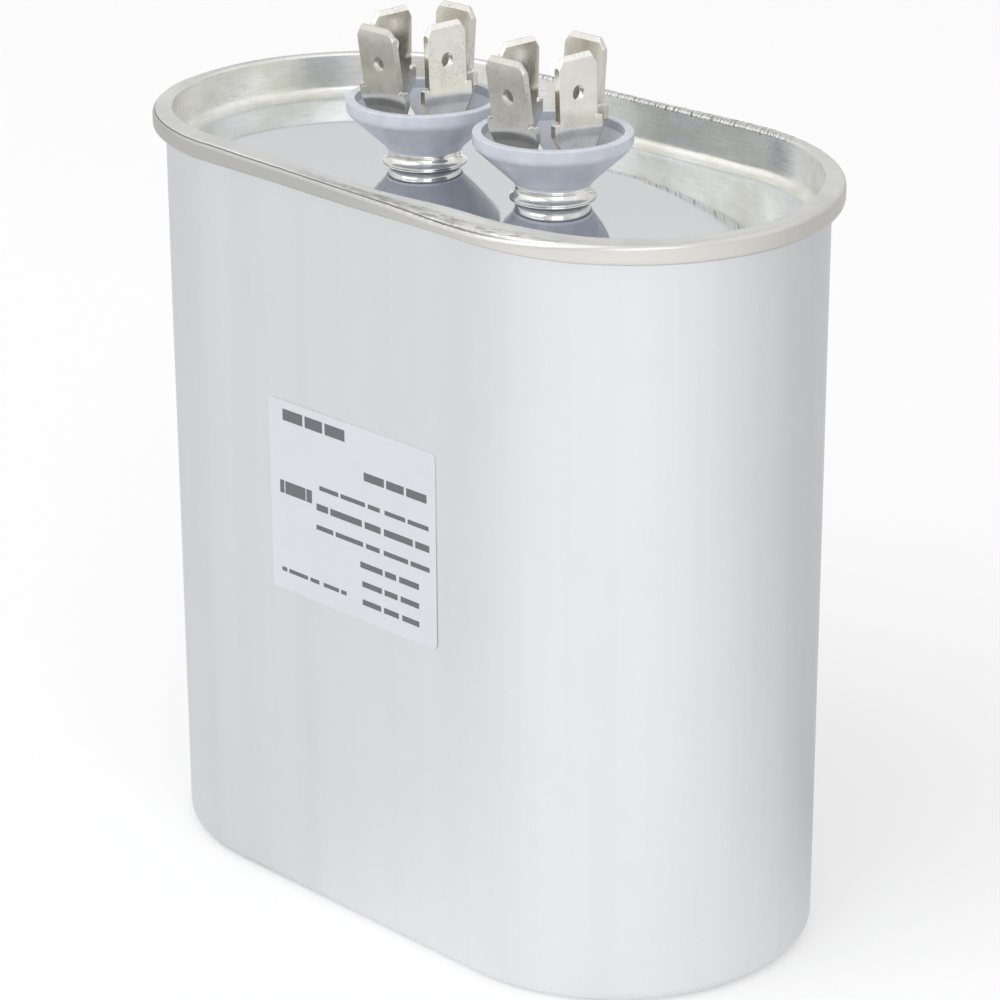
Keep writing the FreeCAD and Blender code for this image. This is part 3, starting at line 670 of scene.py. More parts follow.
def tinplate_finish(ends, crest):
    """Rolled tinplate: a glossy streaked wall, a satin top that the roll ticked, a plain outside.

    The UV map holds the place along the oval and the length up the sheet. ends are the lengths
    where the sheet's stretches end; crest is the length of the painted shadow line on the seam's
    edge.
    """
    base = sizes("finishes").tinplate
    material, tree, shader = new_material("Seamed Tinplate", Metallic=1.0)
    place = object_place(tree)
    sheet = add_node(tree, "ShaderNodeUVMap", uv_map="Sheet").outputs["UV"]
    split = add_node(tree, "ShaderNodeSeparateXYZ")
    join(tree, sheet, split.inputs[0])
    along, up = split.outputs[0], split.outputs[1]
    streak = noise(tree, stretch(tree, sheet, (0.05, 1, 1)), 6000.0, 3.0, 0.6)
    patch = noise(tree, place, 160.0, 4.0, 0.6)
    wavy = noise(tree, stretch(tree, sheet, (1, 0, 0)), 600.0, 4.0, 0.7)
    ragged = math_node(tree, "MULTIPLY_ADD", wavy, 0.9*MM, up)

    wall = remap(tree, up, ends["wall"], ends["wall"] + 0.5*MM, 1, 0)
    outside = remap(tree, up, crest, crest + 0.3*MM, 0, 1)
    top = window(tree, ragged, ends["wall"] + 1.05*MM, crest + 0.35*MM, 0.12*MM)
    whole = window(tree, ragged, ends["wall"] + 0.45*MM, crest + 0.5*MM, 0.1*MM)
    ticked = either(tree, product(tree, whole, on_stretch(tree, along, TICKED_BACK)),
                    product(tree, top, on_stretch(tree, along, TICKED_LEFT), 0.5))
    edge = window(tree, ragged, ends["land"] - 0.1*MM, crest + 0.45*MM, 0.2*MM)
    dented = product(tree, edge, on_stretch(tree, along, DENTED))
    phase = math_node(tree, "MULTIPLY_ADD",
                      noise(tree, stretch(tree, sheet, (1, 0.3, 1)), 800.0, 3.0), 16.0,
                      math_node(tree, "MULTIPLY", along, 2*math.pi/TICK_PITCH))
    gaps = remap(tree, noise(tree, stretch(tree, sheet, (1, 0.5, 1)), 1300.0), 0.42, 0.56, 0.25, 1)
    ticks = either(tree, remap(tree, math_node(tree, "SINE", phase), -0.3, 0.3, 0, 1),
                   math_node(tree, "SUBTRACT", 1.0, gaps))
    dents = remap(tree, noise(tree, stretch(tree, sheet, (0.16, 1, 1)), 2600.0, 3.0, 0.6),
                  0.4, 0.58, 0, 1)
    # Painted shadow: a thin dark line just outside the crest, standing for the shade in the crease
    # along it.
    thin = math_node(tree, "MULTIPLY_ADD", wavy, 0.2*MM, up)
    line = product(tree, window(tree, thin, crest + 0.02*MM, crest + 0.2*MM, 0.04*MM),
                   on_stretch(tree, along, CREASE_SHADED))

    satin = mix_colour(tree, remap(tree, patch, 0.4, 0.65, 0, 1), tinted(base, 1.03),
                       tinted(base, 0.94))
    olive = (base[0]*1.06, base[1]*1.06, base[2]*0.98)
    glossy = mix_colour(tree, remap(tree, patch, 0.42, 0.6, 0, 1), tinted(base, 1.22), olive)
    glossy = mix_colour(tree, remap(tree, streak, 0.5, 0.7, 0, 0.35), glossy, tinted(base, 0.62))
    warm = (base[0]*0.88, base[1]*0.87, base[2]*0.84)
    tone = mix_colour(tree, wall, satin, glossy)
    tone = mix_colour(tree, outside, tone, warm)
    # Painted shade: the seam's outside and dented top are darkened along a stretch from the left end
    # across the front.
    stretch_shade = product(tree, either(tree, outside, dented), on_stretch(tree, along, SHADED_STRETCH))
    tone = mix_colour(tree, product(tree, stretch_shade, 0.6), tone, tinted(base, 0.56))
    # Painted shade: the valleys of the roll's ticks and of the dents are darkened to a deep grey, as
    # shade in those recesses; the same marks are also bumps.
    for marks, where, strength in ((ticks, ticked, 0.8), (dents, dented, 0.45)):
        dark = product(tree, math_node(tree, "SUBTRACT", 1.0, marks), where, strength)
        tone = mix_colour(tree, dark, tone, tinted(base, 0.16))
    # The painted shadow line along the crest's crease.
    tone = mix_colour(tree, product(tree, line, 0.85), tone, tinted(base, 0.14))
    join(tree, tone, shader.inputs["Base Color"])
    join(tree, remap(tree, patch, 0.3, 0.7, 0.26, 0.34), shader.inputs["Roughness"])
    dimples = noise(tree, stretch(tree, sheet, (0.3, 1, 1)), 420.0, 2.0)
    relief = math_node(tree, "MULTIPLY_ADD", product(tree, dimples, wall), 0.05,
                       math_node(tree, "MULTIPLY", streak, 0.008))
    relief = math_node(tree, "MULTIPLY_ADD", product(tree, ticks, ticked), 0.05, relief)
    relief = math_node(tree, "MULTIPLY_ADD", product(tree, dents, dented), 0.05, relief)
    join(tree, bump(tree, relief, 1*MM), shader.inputs["Normal"])
    return material


# How fast the panel's slope grows, per metre: past its flat middle along X, and along Y.
DISHED = (3.6, 2.5)
# Half length of the panel's flat middle along X.
FLAT_MIDDLE = 14*MM


def panel_finish():
    """The lid's panel: the same tinplate left bright, with slow waves and a few specks.

    Its slight dish is a height of (slope rate/2)*distance^2 for the Bump node.
    """
    base = sizes("finishes").panel
    material, tree, shader = new_material("Bright Panel", Metallic=1.0)
    place = object_place(tree)
    marks = use_group(tree, "Specks and Scuffs", Vector=place, Speck_Scale=500.0, Amount=0.8)
    slow = noise(tree, place, 120.0, 2.0)
    tone = mix_colour(tree, math_node(tree, "MULTIPLY", marks.outputs["Specks"], 0.7), base,
                      tinted(base, 1.3))
    join(tree, tone, shader.inputs["Base Color"])
    join(tree, remap(tree, slow, 0.3, 0.7, 0.03, 0.07), shader.inputs["Roughness"])
    split = add_node(tree, "ShaderNodeSeparateXYZ")
    join(tree, place, split.inputs[0])
    reach = math_node(tree, "ABSOLUTE", split.outputs[0])
    beyond = math_node(tree, "MAXIMUM", math_node(tree, "SUBTRACT", reach, FLAT_MIDDLE), 0.0)
    dish = math_node(tree, "MULTIPLY_ADD", math_node(tree, "POWER", beyond, 2.0), DISHED[0]/2,
                     product(tree, split.outputs[1], split.outputs[1], DISHED[1]/2))
    waves = math_node(tree, "MULTIPLY_ADD", slow, sizes("wear").panel_wave, dish)
    join(tree, bump(tree, waves, 1.0), shader.inputs["Normal"])
    return material


def blade_finish(name, base, roughness):
    """Pressed tin-plated strip: faint clouds, and dark specks where the tin is worn."""
    material, tree, shader = new_material(name, Metallic=1.0)
    place = object_place(tree)
    speck = noise(tree, place, 3600.0, 2.0, 0.7)
    cloud = noise(tree, place, 420.0, 4.0, 0.6)
    worn = remap(tree, noise(tree, place, 230.0, 2.0), 0.46, 0.58, 0.1, 1)
    tone = mix_colour(tree, remap(tree, cloud, 0.35, 0.65, 0, 1), tinted(base, 0.95),
                      tinted(base, 1.04))
    tone = mix_colour(tree, product(tree, remap(tree, speck, 0.54, 0.64, 0, 0.55), worn), tone,
                      tinted(base, 0.5))
    join(tree, tone, shader.inputs["Base Color"])
    join(tree, remap(tree, cloud, 0.3, 0.7, roughness - 0.03, roughness + 0.05),
         shader.inputs["Roughness"])
    join(tree, bump(tree, cloud, 0.006*MM, 0.5), shader.inputs["Normal"])
    return material


def polished_finish(name, base, roughness):
    """Polished tin with a soft haze."""
    material, tree, shader = new_material(name, Metallic=1.0)
    haze = noise(tree, object_place(tree), 900.0, 3.0)
    join(tree, mix_colour(tree, remap(tree, haze, 0.35, 0.7, 0, 1), tinted(base, 1.03),
                          tinted(base, 0.86)), shader.inputs["Base Color"])
    join(tree, remap(tree, haze, 0.3, 0.7, roughness*0.7, roughness*1.4),
         shader.inputs["Roughness"])
    join(tree, bump(tree, haze, 0.01*MM, 0.5), shader.inputs["Normal"])
    return material


def plastic_finish(name, base, roughness, dust=0.0):
    """Moulded plastic: flow clouds in the colour, a pebble in the surface, dust specks."""
    material, tree, shader = new_material(name)
    place = object_place(tree)
    skin = use_group(tree, "Moulded Skin", Vector=place)
    marks = use_group(tree, "Specks and Scuffs", Vector=place, Speck_Scale=1100.0, Amount=dust)
    flow, pebble = skin.outputs["Flow"], skin.outputs["Pebble"]
    tone = mix_colour(tree, remap(tree, flow, 0.35, 0.65, 0, 1), tinted(base, 0.95),
                      tinted(base, 1.05))
    tone = mix_colour(tree, math_node(tree, "MULTIPLY", marks.outputs["Specks"], 0.8), tone,
                      (0.8, 0.8, 0.82))
    join(tree, tone, shader.inputs["Base Color"])
    join(tree, remap(tree, flow, 0.3, 0.7, roughness - 0.04, roughness + 0.05),
         shader.inputs["Roughness"])
    join(tree, bump(tree, pebble, 0.01*MM, 0.35), shader.inputs["Normal"])
    return material


# Bars printed on the label: left end, right end, middle height, bar height, block and gap, in mm.
LABEL_BARS = (
    (-10.7, 0.6, 65.4, 1.5, 5.6, 0.08),
    (3.9, 14.9, 61.1, 1.1, 5.4, 0.08),
    (-11.5, -5.6, 55.8, 1.7, 6.1, 0.03),
    (-4.2, 15.2, 57.4, 0.6, 4.1, 0.14),
    (-4.8, 15.3, 54.8, 0.9, 5.2, 0.11),
    (-4.9, 15.3, 52.1, 0.65, 4.6, 0.13),
    (2.9, 13.7, 49.4, 0.8, 3.7, 0.13),
    (3.3, 13.4, 46.9, 0.75, 4.3, 0.12),
    (3.3, 13.4, 44.5, 0.75, 4.9, 0.12),
    (-11.5, 0.4, 44.7, 0.55, 3.3, 0.16),
)


def label_finish():
    """White film with plain printed bars."""
    finishes = sizes("finishes")
    material, tree, shader = new_material("Label Film", Roughness=0.42)
    place = object_place(tree)
    ink = 0.0
    for left, right, height, thick, block, gap in LABEL_BARS:
        bar = use_group(tree, "Printed Bar", Vector=place, Centre_X=(left + right)/2*MM,
                        Centre_Z=height*MM, Length=(right - left)*MM, Height=thick*MM,
                        Block=block*MM, Gap=gap)
        ink = math_node(tree, "MAXIMUM", bar.outputs["Ink"], ink)
    cloud = noise(tree, place, 300.0, 4.0)
    paper = mix_colour(tree, cloud, tinted(finishes.label, 0.97), tinted(finishes.label, 1.03))
    join(tree, mix_colour(tree, math_node(tree, "MULTIPLY", ink, 0.9), paper, finishes.ink),
         shader.inputs["Base Color"])
    join(tree, bump(tree, cloud, 0.02*MM, 0.3), shader.inputs["Normal"])
    return material


# Flat border of the panel that is carried round with the lid's rim.
PANEL_MARGIN = 0.6*MM

# Pieces of each stretch of the lid's section, from the panel's border to the hook's end.
LID_PIECES = {"border": 2, "foot": 16, "wall": 8, "lip": 14, "land": 8, "shoulder": 12, "face": 6,
              "curl": 12, "hook": 1}


def seam_sections():
    """Can and lid sections in the rolled seam, worked out from one set of bends.

    The can's wall rises to its flange hook; the lid's panel turns up the chuck wall, out over the
    hook, down the outside and back up inside it. The sealing compound is an arc between the two.
    Returns both faces of each.
    """
    s = sizes("seam")
    hook = (s.can_sheet + s.lid_sheet)/2 + s.gap
    overhang = s.can_sheet + 2*s.lid_sheet + 3*s.gap
    curl_z = SEAM_TOP - s.height + hook + s.lid_sheet/2
    lip = np.array([HALF_WIDTH - s.can_sheet - s.gap - s.lid_sheet/2, SEAM_TOP - s.lid_sheet/2])
    lip += heading_step(s.inner_bend, -s.taper) - [0, s.inner_bend]
    hook_x = HALF_WIDTH - s.can_sheet/2 + hook
    drop = hook + s.can_sheet/2 + s.gap + s.lid_sheet/2 - s.inner_bend
    hook_z = lip[1] - (hook_x - lip[0])*math.tan(s.slope) - drop/math.cos(s.slope)

    can = bent_sheet((0, s.can_sheet/2), 0, [
        ("go", HALF_WIDTH - s.can_foot, 12),
        ("bend", s.can_foot - s.can_sheet/2, math.pi/2, 14),
        ("go", hook_z - s.can_foot, 60),
        ("bend", hook, -math.pi, 12),
        ("go", hook_z - curl_z, 2)], s.can_sheet)

    wall_heading = math.pi/2 - s.taper
    wall_top = lip + heading_step(s.inner_bend, wall_heading + math.pi/2)
    panel_z = PANEL_UNDERSIDE + s.lid_sheet/2
    foot = heading_step(s.foot_bend, wall_heading - math.pi/2)
    rise = wall_top[1] - (panel_z + s.foot_bend + foot[1])
    wall = rise/math.sin(wall_heading)
    flat = wall_top[0] - heading_step(wall, wall_heading)[0] - foot[0]
    seaming_x = HALF_WIDTH + overhang - s.lid_sheet/2
    top_start = lip[0] + s.inner_bend*math.sin(s.slope)
    top_end = seaming_x - s.outer_bend*(1 - math.sin(s.slope))
    top = (top_end - top_start)/math.cos(s.slope)
    seaming_z = lip[1] + (s.inner_bend - s.outer_bend)*math.cos(s.slope) - top*math.sin(s.slope)
    lid = bent_sheet((flat - PANEL_MARGIN, panel_z), 0, [
        ("go", PANEL_MARGIN, LID_PIECES["border"]),
        ("bend", s.foot_bend, wall_heading, LID_PIECES["foot"]),
        ("go", wall, LID_PIECES["wall"]),
        ("bend", s.inner_bend, -(wall_heading + s.slope), LID_PIECES["lip"]),
        ("go", top, LID_PIECES["land"]),
        ("bend", s.outer_bend, -(math.pi/2 - s.slope), LID_PIECES["shoulder"]),
        ("go", seaming_z - curl_z, LID_PIECES["face"]),
        ("bend", hook, -math.pi, LID_PIECES["curl"]),
        ("go", hook_z - curl_z, LID_PIECES["hook"])], s.lid_sheet)
    radius = hook + s.can_sheet/2 + s.gap/2
    compound = bent_sheet((hook_x - radius, hook_z), math.pi/2,
                          [("bend", radius, -math.pi, 12)], 0.9*s.gap)
    return can, lid, compound


def build_can():
    (inner, outer), _, _ = seam_sections()
    section = np.vstack([outer, inner[::-1]])
    path = oval_path((0.6*MM, 0.8*MM, 0.6*MM, 0.8*MM))
    along = path[2][:, None]
    height = section[None, :, 1]
    wall = smooth_step(height, 3*MM, 12*MM)*(1 - smooth_step(height, SEAM_TOP - 12*MM,
                                                             SEAM_TOP - 4*MM))
    turn = 2*math.pi/(2*math.pi*HALF_WIDTH + 4*HALF_STRAIGHT)
    waves = (np.sin(5*turn*along + 38*height + 0.7)*np.sin(90*height + 1.1)
             + 0.7*np.sin(9*turn*along - 51*height + 2.0)
             + 0.5*np.sin(17*turn*along + 23*height + 0.4))
    shift = sizes("wear").can_wave*wall*waves/2.2
    vertices, faces, uv = carried_round(section, path, shift)
    piece = mesh_piece("can_shell", vertices, faces, uv)
    return finish_piece(piece, aluminium_finish(), "can_aluminium", "can")


# Where the rolling wrinkled the seam's top: middle along the wall, half length and share of the
# full depth, in mm.
WRINKLED = ((212.0, 37.0, 1.0), (117.0, 20.0, 0.7))
# Nicks: place along the wall, distance out from the can's face, height below the top, size, in mm.
NICKS = ((156.2, 1.2, 0.9, 0.45), (163.0, 1.6, 2.2, 0.45), (125.5, 0.1, 0.5, 0.5),
         (148.0, 1.0, 0.5, 0.4), (87.8, 1.6, 1.6, 0.4), (26.0, 1.0, 0.3, 0.6))
# The crease along the crest: middle along the wall and half length, in mm.
CREASED = (95.0, 44.0)


def lid_displacement(section, lengths, path, crest):
    """Moves along the lid's outer face: wrinkles on its top, a crease on the crest, and nicks."""
    wear = sizes("wear")
    along = path[2]
    out, height = section[None, :, 0], section[None, :, 1]
    on_top = smooth_step(height, SEAM_TOP - 1.3*MM, SEAM_TOP - 0.5*MM)
    on_top = on_top*smooth_step(out, HALF_WIDTH - 0.9*MM, HALF_WIDTH - 0.3*MM)
    place = along[:, None]
    total = np.zeros((len(along), section.shape[0]))
    for middle, half, share in WRINKLED:
        gap = round_gap(place, middle*MM)
        inside = 1 - smooth_step(np.abs(gap), (half - 7)*MM, half*MM)
        ridges = rolling_noise(gap + 0.5*(out - HALF_WIDTH), wear.wrinkle_pitch, int(middle))
        total += wear.wrinkle*share*inside*on_top*(ridges - 1)/2
    gap = round_gap(place, CREASED[0]*MM)
    inside = 1 - smooth_step(np.abs(gap), (CREASED[1] - 12)*MM, CREASED[1]*MM)
    groove = np.exp(-((lengths[None, :] - crest)/(0.12*MM))**2)
    total -= wear.crease*inside*groove*(0.7 + 0.3*rolling_noise(gap, 13*MM, 7))
    for where, distance, below, extent in NICKS:
        gap = (round_gap(place, where*MM)**2 + (out - HALF_WIDTH - distance*MM)**2
               + (height - SEAM_TOP + below*MM)**2)
        total -= wear.nick*np.exp(-gap/(extent*MM)**2)
    return total


def panel_plate(ring, z_top, z_bottom, hole_radius, first):
    """Flat panel inside the ring with two round holes: its two faces and the holes' walls.

    Both faces are one constrained triangulation of the ring and the hole circles.
    """
    angle = np.linspace(0, 2*math.pi, 96, endpoint=False)
    circle = hole_radius*np.stack([np.cos(angle), np.sin(angle)], 1)
    loops = [ring] + [circle + [TERMINAL_X[side], 0] for side in SIDES]
    flat = np.vstack(loops)
    starts = np.cumsum([0] + [len(loop) for loop in loops])
    borders = [list(range(starts[i], starts[i + 1])) for i in range(3)]
    edges = [(border[k], border[(k + 1) % len(border)]) for border in borders
             for k in range(len(border))]
    points, _, triangles, *_ = delaunay_2d_cdt([Vector(p) for p in flat], edges, [], 1, 1e-9)
    points = np.array([tuple(p) for p in points])
    centres = np.array([points[list(t)].mean(0) for t in triangles])
    keep = np.ones(len(triangles), bool)
    for side in SIDES:
        reach = np.hypot(centres[:, 0] - TERMINAL_X[side], centres[:, 1])
        keep &= reach > hole_radius*0.999
    triangles = np.array([list(t) for t, ok in zip(triangles, keep) if ok])
    count = len(points)
    top = np.column_stack([points, np.full(count, z_top)])
    bottom = np.column_stack([points, np.full(count, z_bottom)])
    area = np.cross(points[triangles[:, 1]] - points[triangles[:, 0]],
                    points[triangles[:, 2]] - points[triangles[:, 0]])
    upward = np.where(area[:, None] > 0, triangles, triangles[:, ::-1])
    faces = [list(first + t) for t in upward] + [list(first + count + t[::-1]) for t in upward]
    for border in borders[1:]:
        for k in range(len(border)):
            a, b = border[k], border[(k + 1) % len(border)]
            faces.append([first + a, first + b, first + count + b, first + count + a])
    return np.vstack([top, bottom]), faces


def build_lid():
    _, (upper, lower), _ = seam_sections()
    # The hidden lower face needs only every fourth point.
    lower = lower[np.unique(np.r_[np.arange(0, len(lower), 4), len(lower) - 1])]
    section = np.vstack([upper, lower[::-1]])
    path = oval_path((0.42*MM, 0.26*MM, 0.42*MM, 0.19*MM))
    lengths = section_lengths(section)
    ends = dict(zip(LID_PIECES, lengths[np.cumsum(list(LID_PIECES.values()))].tolist()))
    crest = ends["land"] + 0.4*(ends["shoulder"] - ends["land"])
    shift = lid_displacement(section, lengths, path, crest)
    shift[:, len(upper):] = 0
    vertices, faces, uv = carried_round(section, path, shift)
    axis, normal, _ = path
    ring = np.stack([axis + normal[:, 0]*upper[0, 0], normal[:, 1]*upper[0, 0]], 1)[:-1]
    plate, plate_faces = panel_plate(ring, upper[0, 1], lower[0, 1],
                                     sizes("terminal").ferrule_radius, len(vertices))
    # The rim's winding is set to agree with the plate's, whose upper face points up.
    rim = [list(face) for face in faces]
    first = vertices[rim[0]]
    if np.cross(first[1] - first[0], first[2] - first[0])[2] < 0:
        rim = [face[::-1] for face in rim]
    uv = np.vstack([uv, plate[:, :2]])
    piece = mesh_piece("lid_pan", np.vstack([vertices, plate]), rim + plate_faces, uv)
    finish_piece(piece, tinplate_finish(ends, crest), "tinplate", "lid")
    piece.data.materials.append(panel_finish())
    flat_limit = upper[0, 1] + 0.02*MM
    for face in piece.data.polygons:
        if face.center.z < flat_limit and face.normal.z > 0.99:
            face.material_index = 1
    return piece


def ferrule_section():
    """Neck, flare, lip and the clinch under the panel.

    The flare is the arc centre + radius*(cos, sin) that leaves the neck upright and ends on the
    lip: radius = (run^2 + drop^2)/(2 run).
    """
    t, s = sizes("terminal"), sizes("seam")
    panel = PANEL_UNDERSIDE + s.lid_sheet
    bore = t.ferrule_radius - t.ferrule_sheet
    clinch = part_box("terminal_ferrule_left")[1].y
    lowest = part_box("terminal_ferrule_left")[0].z
    run = t.lip_radius - t.ferrule_radius
    drop = t.flare_height - t.lip_height
    radius = (run**2 + drop**2)/(2*run)
    turn = math.pi + np.linspace(0, 1, 15)*math.asin(drop/radius)
    flare = np.stack([t.ferrule_radius + radius*(1 + np.cos(turn)),
                      panel + t.flare_height + radius*np.sin(turn)], 1)
    points = [(bore, FERRULE_TOP), (t.ferrule_radius - 0.06*MM, FERRULE_TOP),
              (t.ferrule_radius, FERRULE_TOP - 0.06*MM), *flare,
              (t.lip_radius + 0.01*MM, panel + t.lip_height - 0.04*MM),
              (t.lip_radius, panel + 0.02*MM), (t.ferrule_radius, panel),
              (t.ferrule_radius, PANEL_UNDERSIDE), (clinch, PANEL_UNDERSIDE),
              (clinch, lowest), (bore, lowest)]
    return np.array(points, float)


def build_ferrules():
    finishes = sizes("finishes")
    finish = polished_finish("Polished Tin", finishes.ferrule, 0.07)
    for side in SIDES:
        vertices, faces = turned_round(ferrule_section(), TERMINAL_X[side],
                                       sizes("terminal").turns)
        piece = mesh_piece(f"ferrule_{side}", vertices, faces, sharp=math.radians(50))
        finish_piece(piece, finish, "tinned_steel", f"terminal_ferrule_{side}")
        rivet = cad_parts[f"terminal_rivet_{side}"]
        rivet.data.materials.clear()
        rivet.data.materials.append(finish)


def cup_section():
    """Funnel profile: neck, cone, rounded shoulder, band, rim, and the same again inside."""
    t, s = sizes("terminal"), sizes("seam")
    panel = PANEL_UNDERSIDE + s.lid_sheet
    run = CUP_RADIUS - t.cone_foot_radius
    rise = t.cone_top - t.cone_foot
    length = math.hypot(run, rise)
    inside_r = CUP_RADIUS - t.cup_wall*rise/length
    inside_z = t.cone_top + t.cup_wall*run/length
    inside_top = CUP_RADIUS - t.cup_wall
    cone_end = inside_z + (inside_top - inside_r)*rise/run
    floor_radius = inside_r - (inside_z - t.floor)*run/rise
    neck = t.ferrule_radius - t.ferrule_sheet - 0.05*MM
    neck_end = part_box("insulator_cup_left")[0].z - panel
    ferrule = FERRULE_TOP - panel
    rim = CUP_TOP - panel
    points = [(t.bore, neck_end), (neck, neck_end), (neck, ferrule),
              (t.cone_foot_radius, ferrule), (t.cone_foot_radius, t.cone_foot),
              (CUP_RADIUS, t.cone_top), (CUP_RADIUS, rim), (inside_top, rim),
              (inside_top, cone_end), (floor_radius, t.floor), (t.bore, t.floor),
              (t.bore, neck_end)]
    edge = t.edge
    radii = [0, 0, 0, edge*0.4, t.shoulder, edge, edge*0.6, edge, 0.4*MM, 0]
    section = rounded(points, radii, 8)[:-1]
    section[:, 1] += panel
    return section


def build_cups():
    finish = plastic_finish("Moulded Insulator", sizes("finishes").cup, 0.24, dust=0.6)
    for side in SIDES:
        vertices, faces = turned_round(cup_section(), TERMINAL_X[side], sizes("terminal").turns)
        piece = mesh_piece(f"cup_{side}", vertices, faces, sharp=math.radians(30))
        finish_piece(piece, finish, "insulator", f"insulator_cup_{side}")


def build_blades():
    """Blade strips: the CAD solids' own form, merged, with the press's rounding on every edge."""
    finishes = sizes("finishes")
    kinds = {"outer_blade_strip": (blade_finish("Outer Blade Tin", finishes.blades, 0.17),
                                   "blade_plate"),
             # The inner strips' tin is painted lighter, standing for the light they catch.
             "inner_blade_strip": (blade_finish("Inner Blade Tin Painted Lighter", finishes.blades_painted_lighter, 0.15),
                                   "blade_plate_bright")}
    for kind, (finish, slot) in kinds.items():
        for side in SIDES:
            node = f"{kind}_{side}"
            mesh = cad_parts[node].data.copy()
            work = bmesh.new()
            work.from_mesh(mesh)
            bmesh.ops.remove_doubles(work, verts=work.verts, dist=1e-6)
            bmesh.ops.dissolve_limit(work, angle_limit=math.radians(0.2), verts=work.verts,
                                     edges=work.edges)
            for edge in work.edges:
                edge.smooth = True
            for face in work.faces:
                face.smooth = True
            work.to_mesh(mesh)
            work.free()
            piece = bpy.data.objects.new(f"blades_{kind.split('_')[0]}_{side}", mesh)
            bpy.context.scene.collection.objects.link(piece)
            edge = piece.modifiers.new("Pressed Edge", "BEVEL")
            edge.width = sizes("terminal").blade_edge
            edge.segments = 2
            edge.limit_method = "ANGLE"
            edge.angle_limit = math.radians(20)
            flat = piece.modifiers.new("Flat Faces", "WEIGHTED_NORMAL")
            flat.weight = 100
            finish_piece(piece, finish, slot, node)


def build_label():
    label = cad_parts["label"]
    label.data.materials.clear()
    label.data.materials.append(label_finish())


def build_inner_pieces():
    """Finishes for what the can hides: the wound element, its leads, seals and insulators."""
    finishes = sizes("finishes")
    made = {
        "brown": plastic_finish("Phenolic Board", (0.17, 0.085, 0.045), 0.5),
        "tray": plastic_finish("Natural Moulding", (0.7, 0.7, 0.66), 0.45),
        "rubber": plastic_finish("Black Rubber", (0.02, 0.02, 0.02), 0.7),
        "film": polished_finish("Metallised Film", (0.62, 0.63, 0.66), 0.22),
        "zinc": blade_finish("Sprayed Zinc", (0.36, 0.37, 0.39), 0.7),
        "wire": polished_finish("Tinned Wire", finishes.ferrule, 0.2),
        "brass": polished_finish("Brass Strip", (0.72, 0.5, 0.22), 0.25),
        "wrap": plastic_finish("Kraft Wrap", (0.45, 0.3, 0.16), 0.65),
    }
    single = {"interrupter_plate": "brown", "bottom_spacer": "tray", "winding_core": "tray",
              "film_winding": "film", "end_spray_bottom": "zinc", "end_spray_top": "zinc",
              "insulating_wrap": "wrap", "lead_short": "wire", "lead_long": "wire"}
    paired = {"sealing_washer": "rubber", "insulating_bush": "brown", "rivet_washer": "brass",
              "contact_tag": "brass"}
    wanted = dict(single)
    for kind, finish in paired.items():
        wanted.update({f"{kind}_{side}": finish for side in SIDES})
    for node, finish in wanted.items():
        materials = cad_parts[node].data.materials
        materials.clear()
        materials.append(made[finish])
    inner, outer = seam_sections()[2]
    ring = np.vstack([outer, inner[::-1], outer[:1]])
    vertices, faces, uv = carried_round(ring, oval_path((0.8*MM,)*4))
    finish_piece(mesh_piece("seam_ring", vertices, faces, uv), made["rubber"], "rubber",
                 "seam_compound")


def build_camera():
    s = sizes("stage")
    back = Vector((math.sin(s.azimuth)*math.cos(s.elevation),
                   -math.cos(s.azimuth)*math.cos(s.elevation), math.sin(s.elevation)))
    right = Vector((0, 0, 1)).cross(back).normalized()
    up = back.cross(right)
    turn = Matrix.Rotation(s.roll, 3, "Z")
    rotation = (Matrix((right, up, back)).transposed() @ turn).to_4x4()
    data = bpy.data.cameras.new("Camera")
    data.lens = s.lens
    data.sensor_width = 36
    data.clip_start = 0.01
    camera = bpy.data.objects.new("Camera", data)
    camera.matrix_world = Matrix.Translation(Vector(s.target) + back*s.distance) @ rotation
    bpy.context.scene.collection.objects.link(camera)
    bpy.context.scene.camera = camera


def area_lamp(name, azimuth, elevation, distance, extent, power):
    """Square lamp that faces the part from an azimuth and elevation in degrees."""
    a, e = math.radians(azimuth), math.radians(elevation)
    back = Vector((math.sin(a)*math.cos(e), -math.cos(a)*math.cos(e), math.sin(e)))
    data = bpy.data.lights.new(name, "AREA")
    data.size = extent
    data.energy = power
    lamp = bpy.data.objects.new(name, data)
    lamp.matrix_world = (Matrix.Translation(Vector((0, 0, 0.05)) + back*distance)
                         @ back.to_track_quat("Z", "Y").to_matrix().to_4x4())
    bpy.context.scene.collection.objects.link(lamp)


def heading(azimuth, elevation=0.0):
    """Unit vector to an azimuth, from -Y towards +X, and an elevation, in degrees."""
    a, e = math.radians(azimuth), math.radians(elevation)
    return math.sin(a)*math.cos(e), -math.cos(a)*math.cos(e), math.sin(e)


def lobe(tree, direction, toward, sharpness):
    """max(0, cos(angle to a heading)) raised to a power."""
    node = add_node(tree, "ShaderNodeVectorMath", operation="DOT_PRODUCT")
    join(tree, direction, node.inputs[0])
    node.inputs[1].default_value = toward
    facing = math_node(tree, "MAXIMUM", node.outputs["Value"], 0.0)
    return math_node(tree, "POWER", facing, sharpness)


# Studio and floor as metal sees them: a plain level, then brighter headings as azimuth and
# elevation in degrees, sharpness, level.
WORLD_LEVEL = 0.72
WORLD_LOBES = (((40, 20), 1.0, 0.2), ((42, 15), 40.0, 0.5), ((-135, 20), 2.0, 0.12),
               ((-45, 25), 5.0, 0.45), ((120, 25), 5.0, 0.3))
FLOOR_LEVEL = 0.03
FLOOR_LOBES = (((-45, 0), 2.0, 0.17), ((52, 0), 1.0, 0.4))
# The floor's own grey, and the glow that makes it white to the camera.
FLOOR_GREY = 0.66
FLOOR_GLOW = 0.3
# Heading, as azimuth and elevation, that plain surfaces get further light from.
FRONT_HEADING = (20, 0)


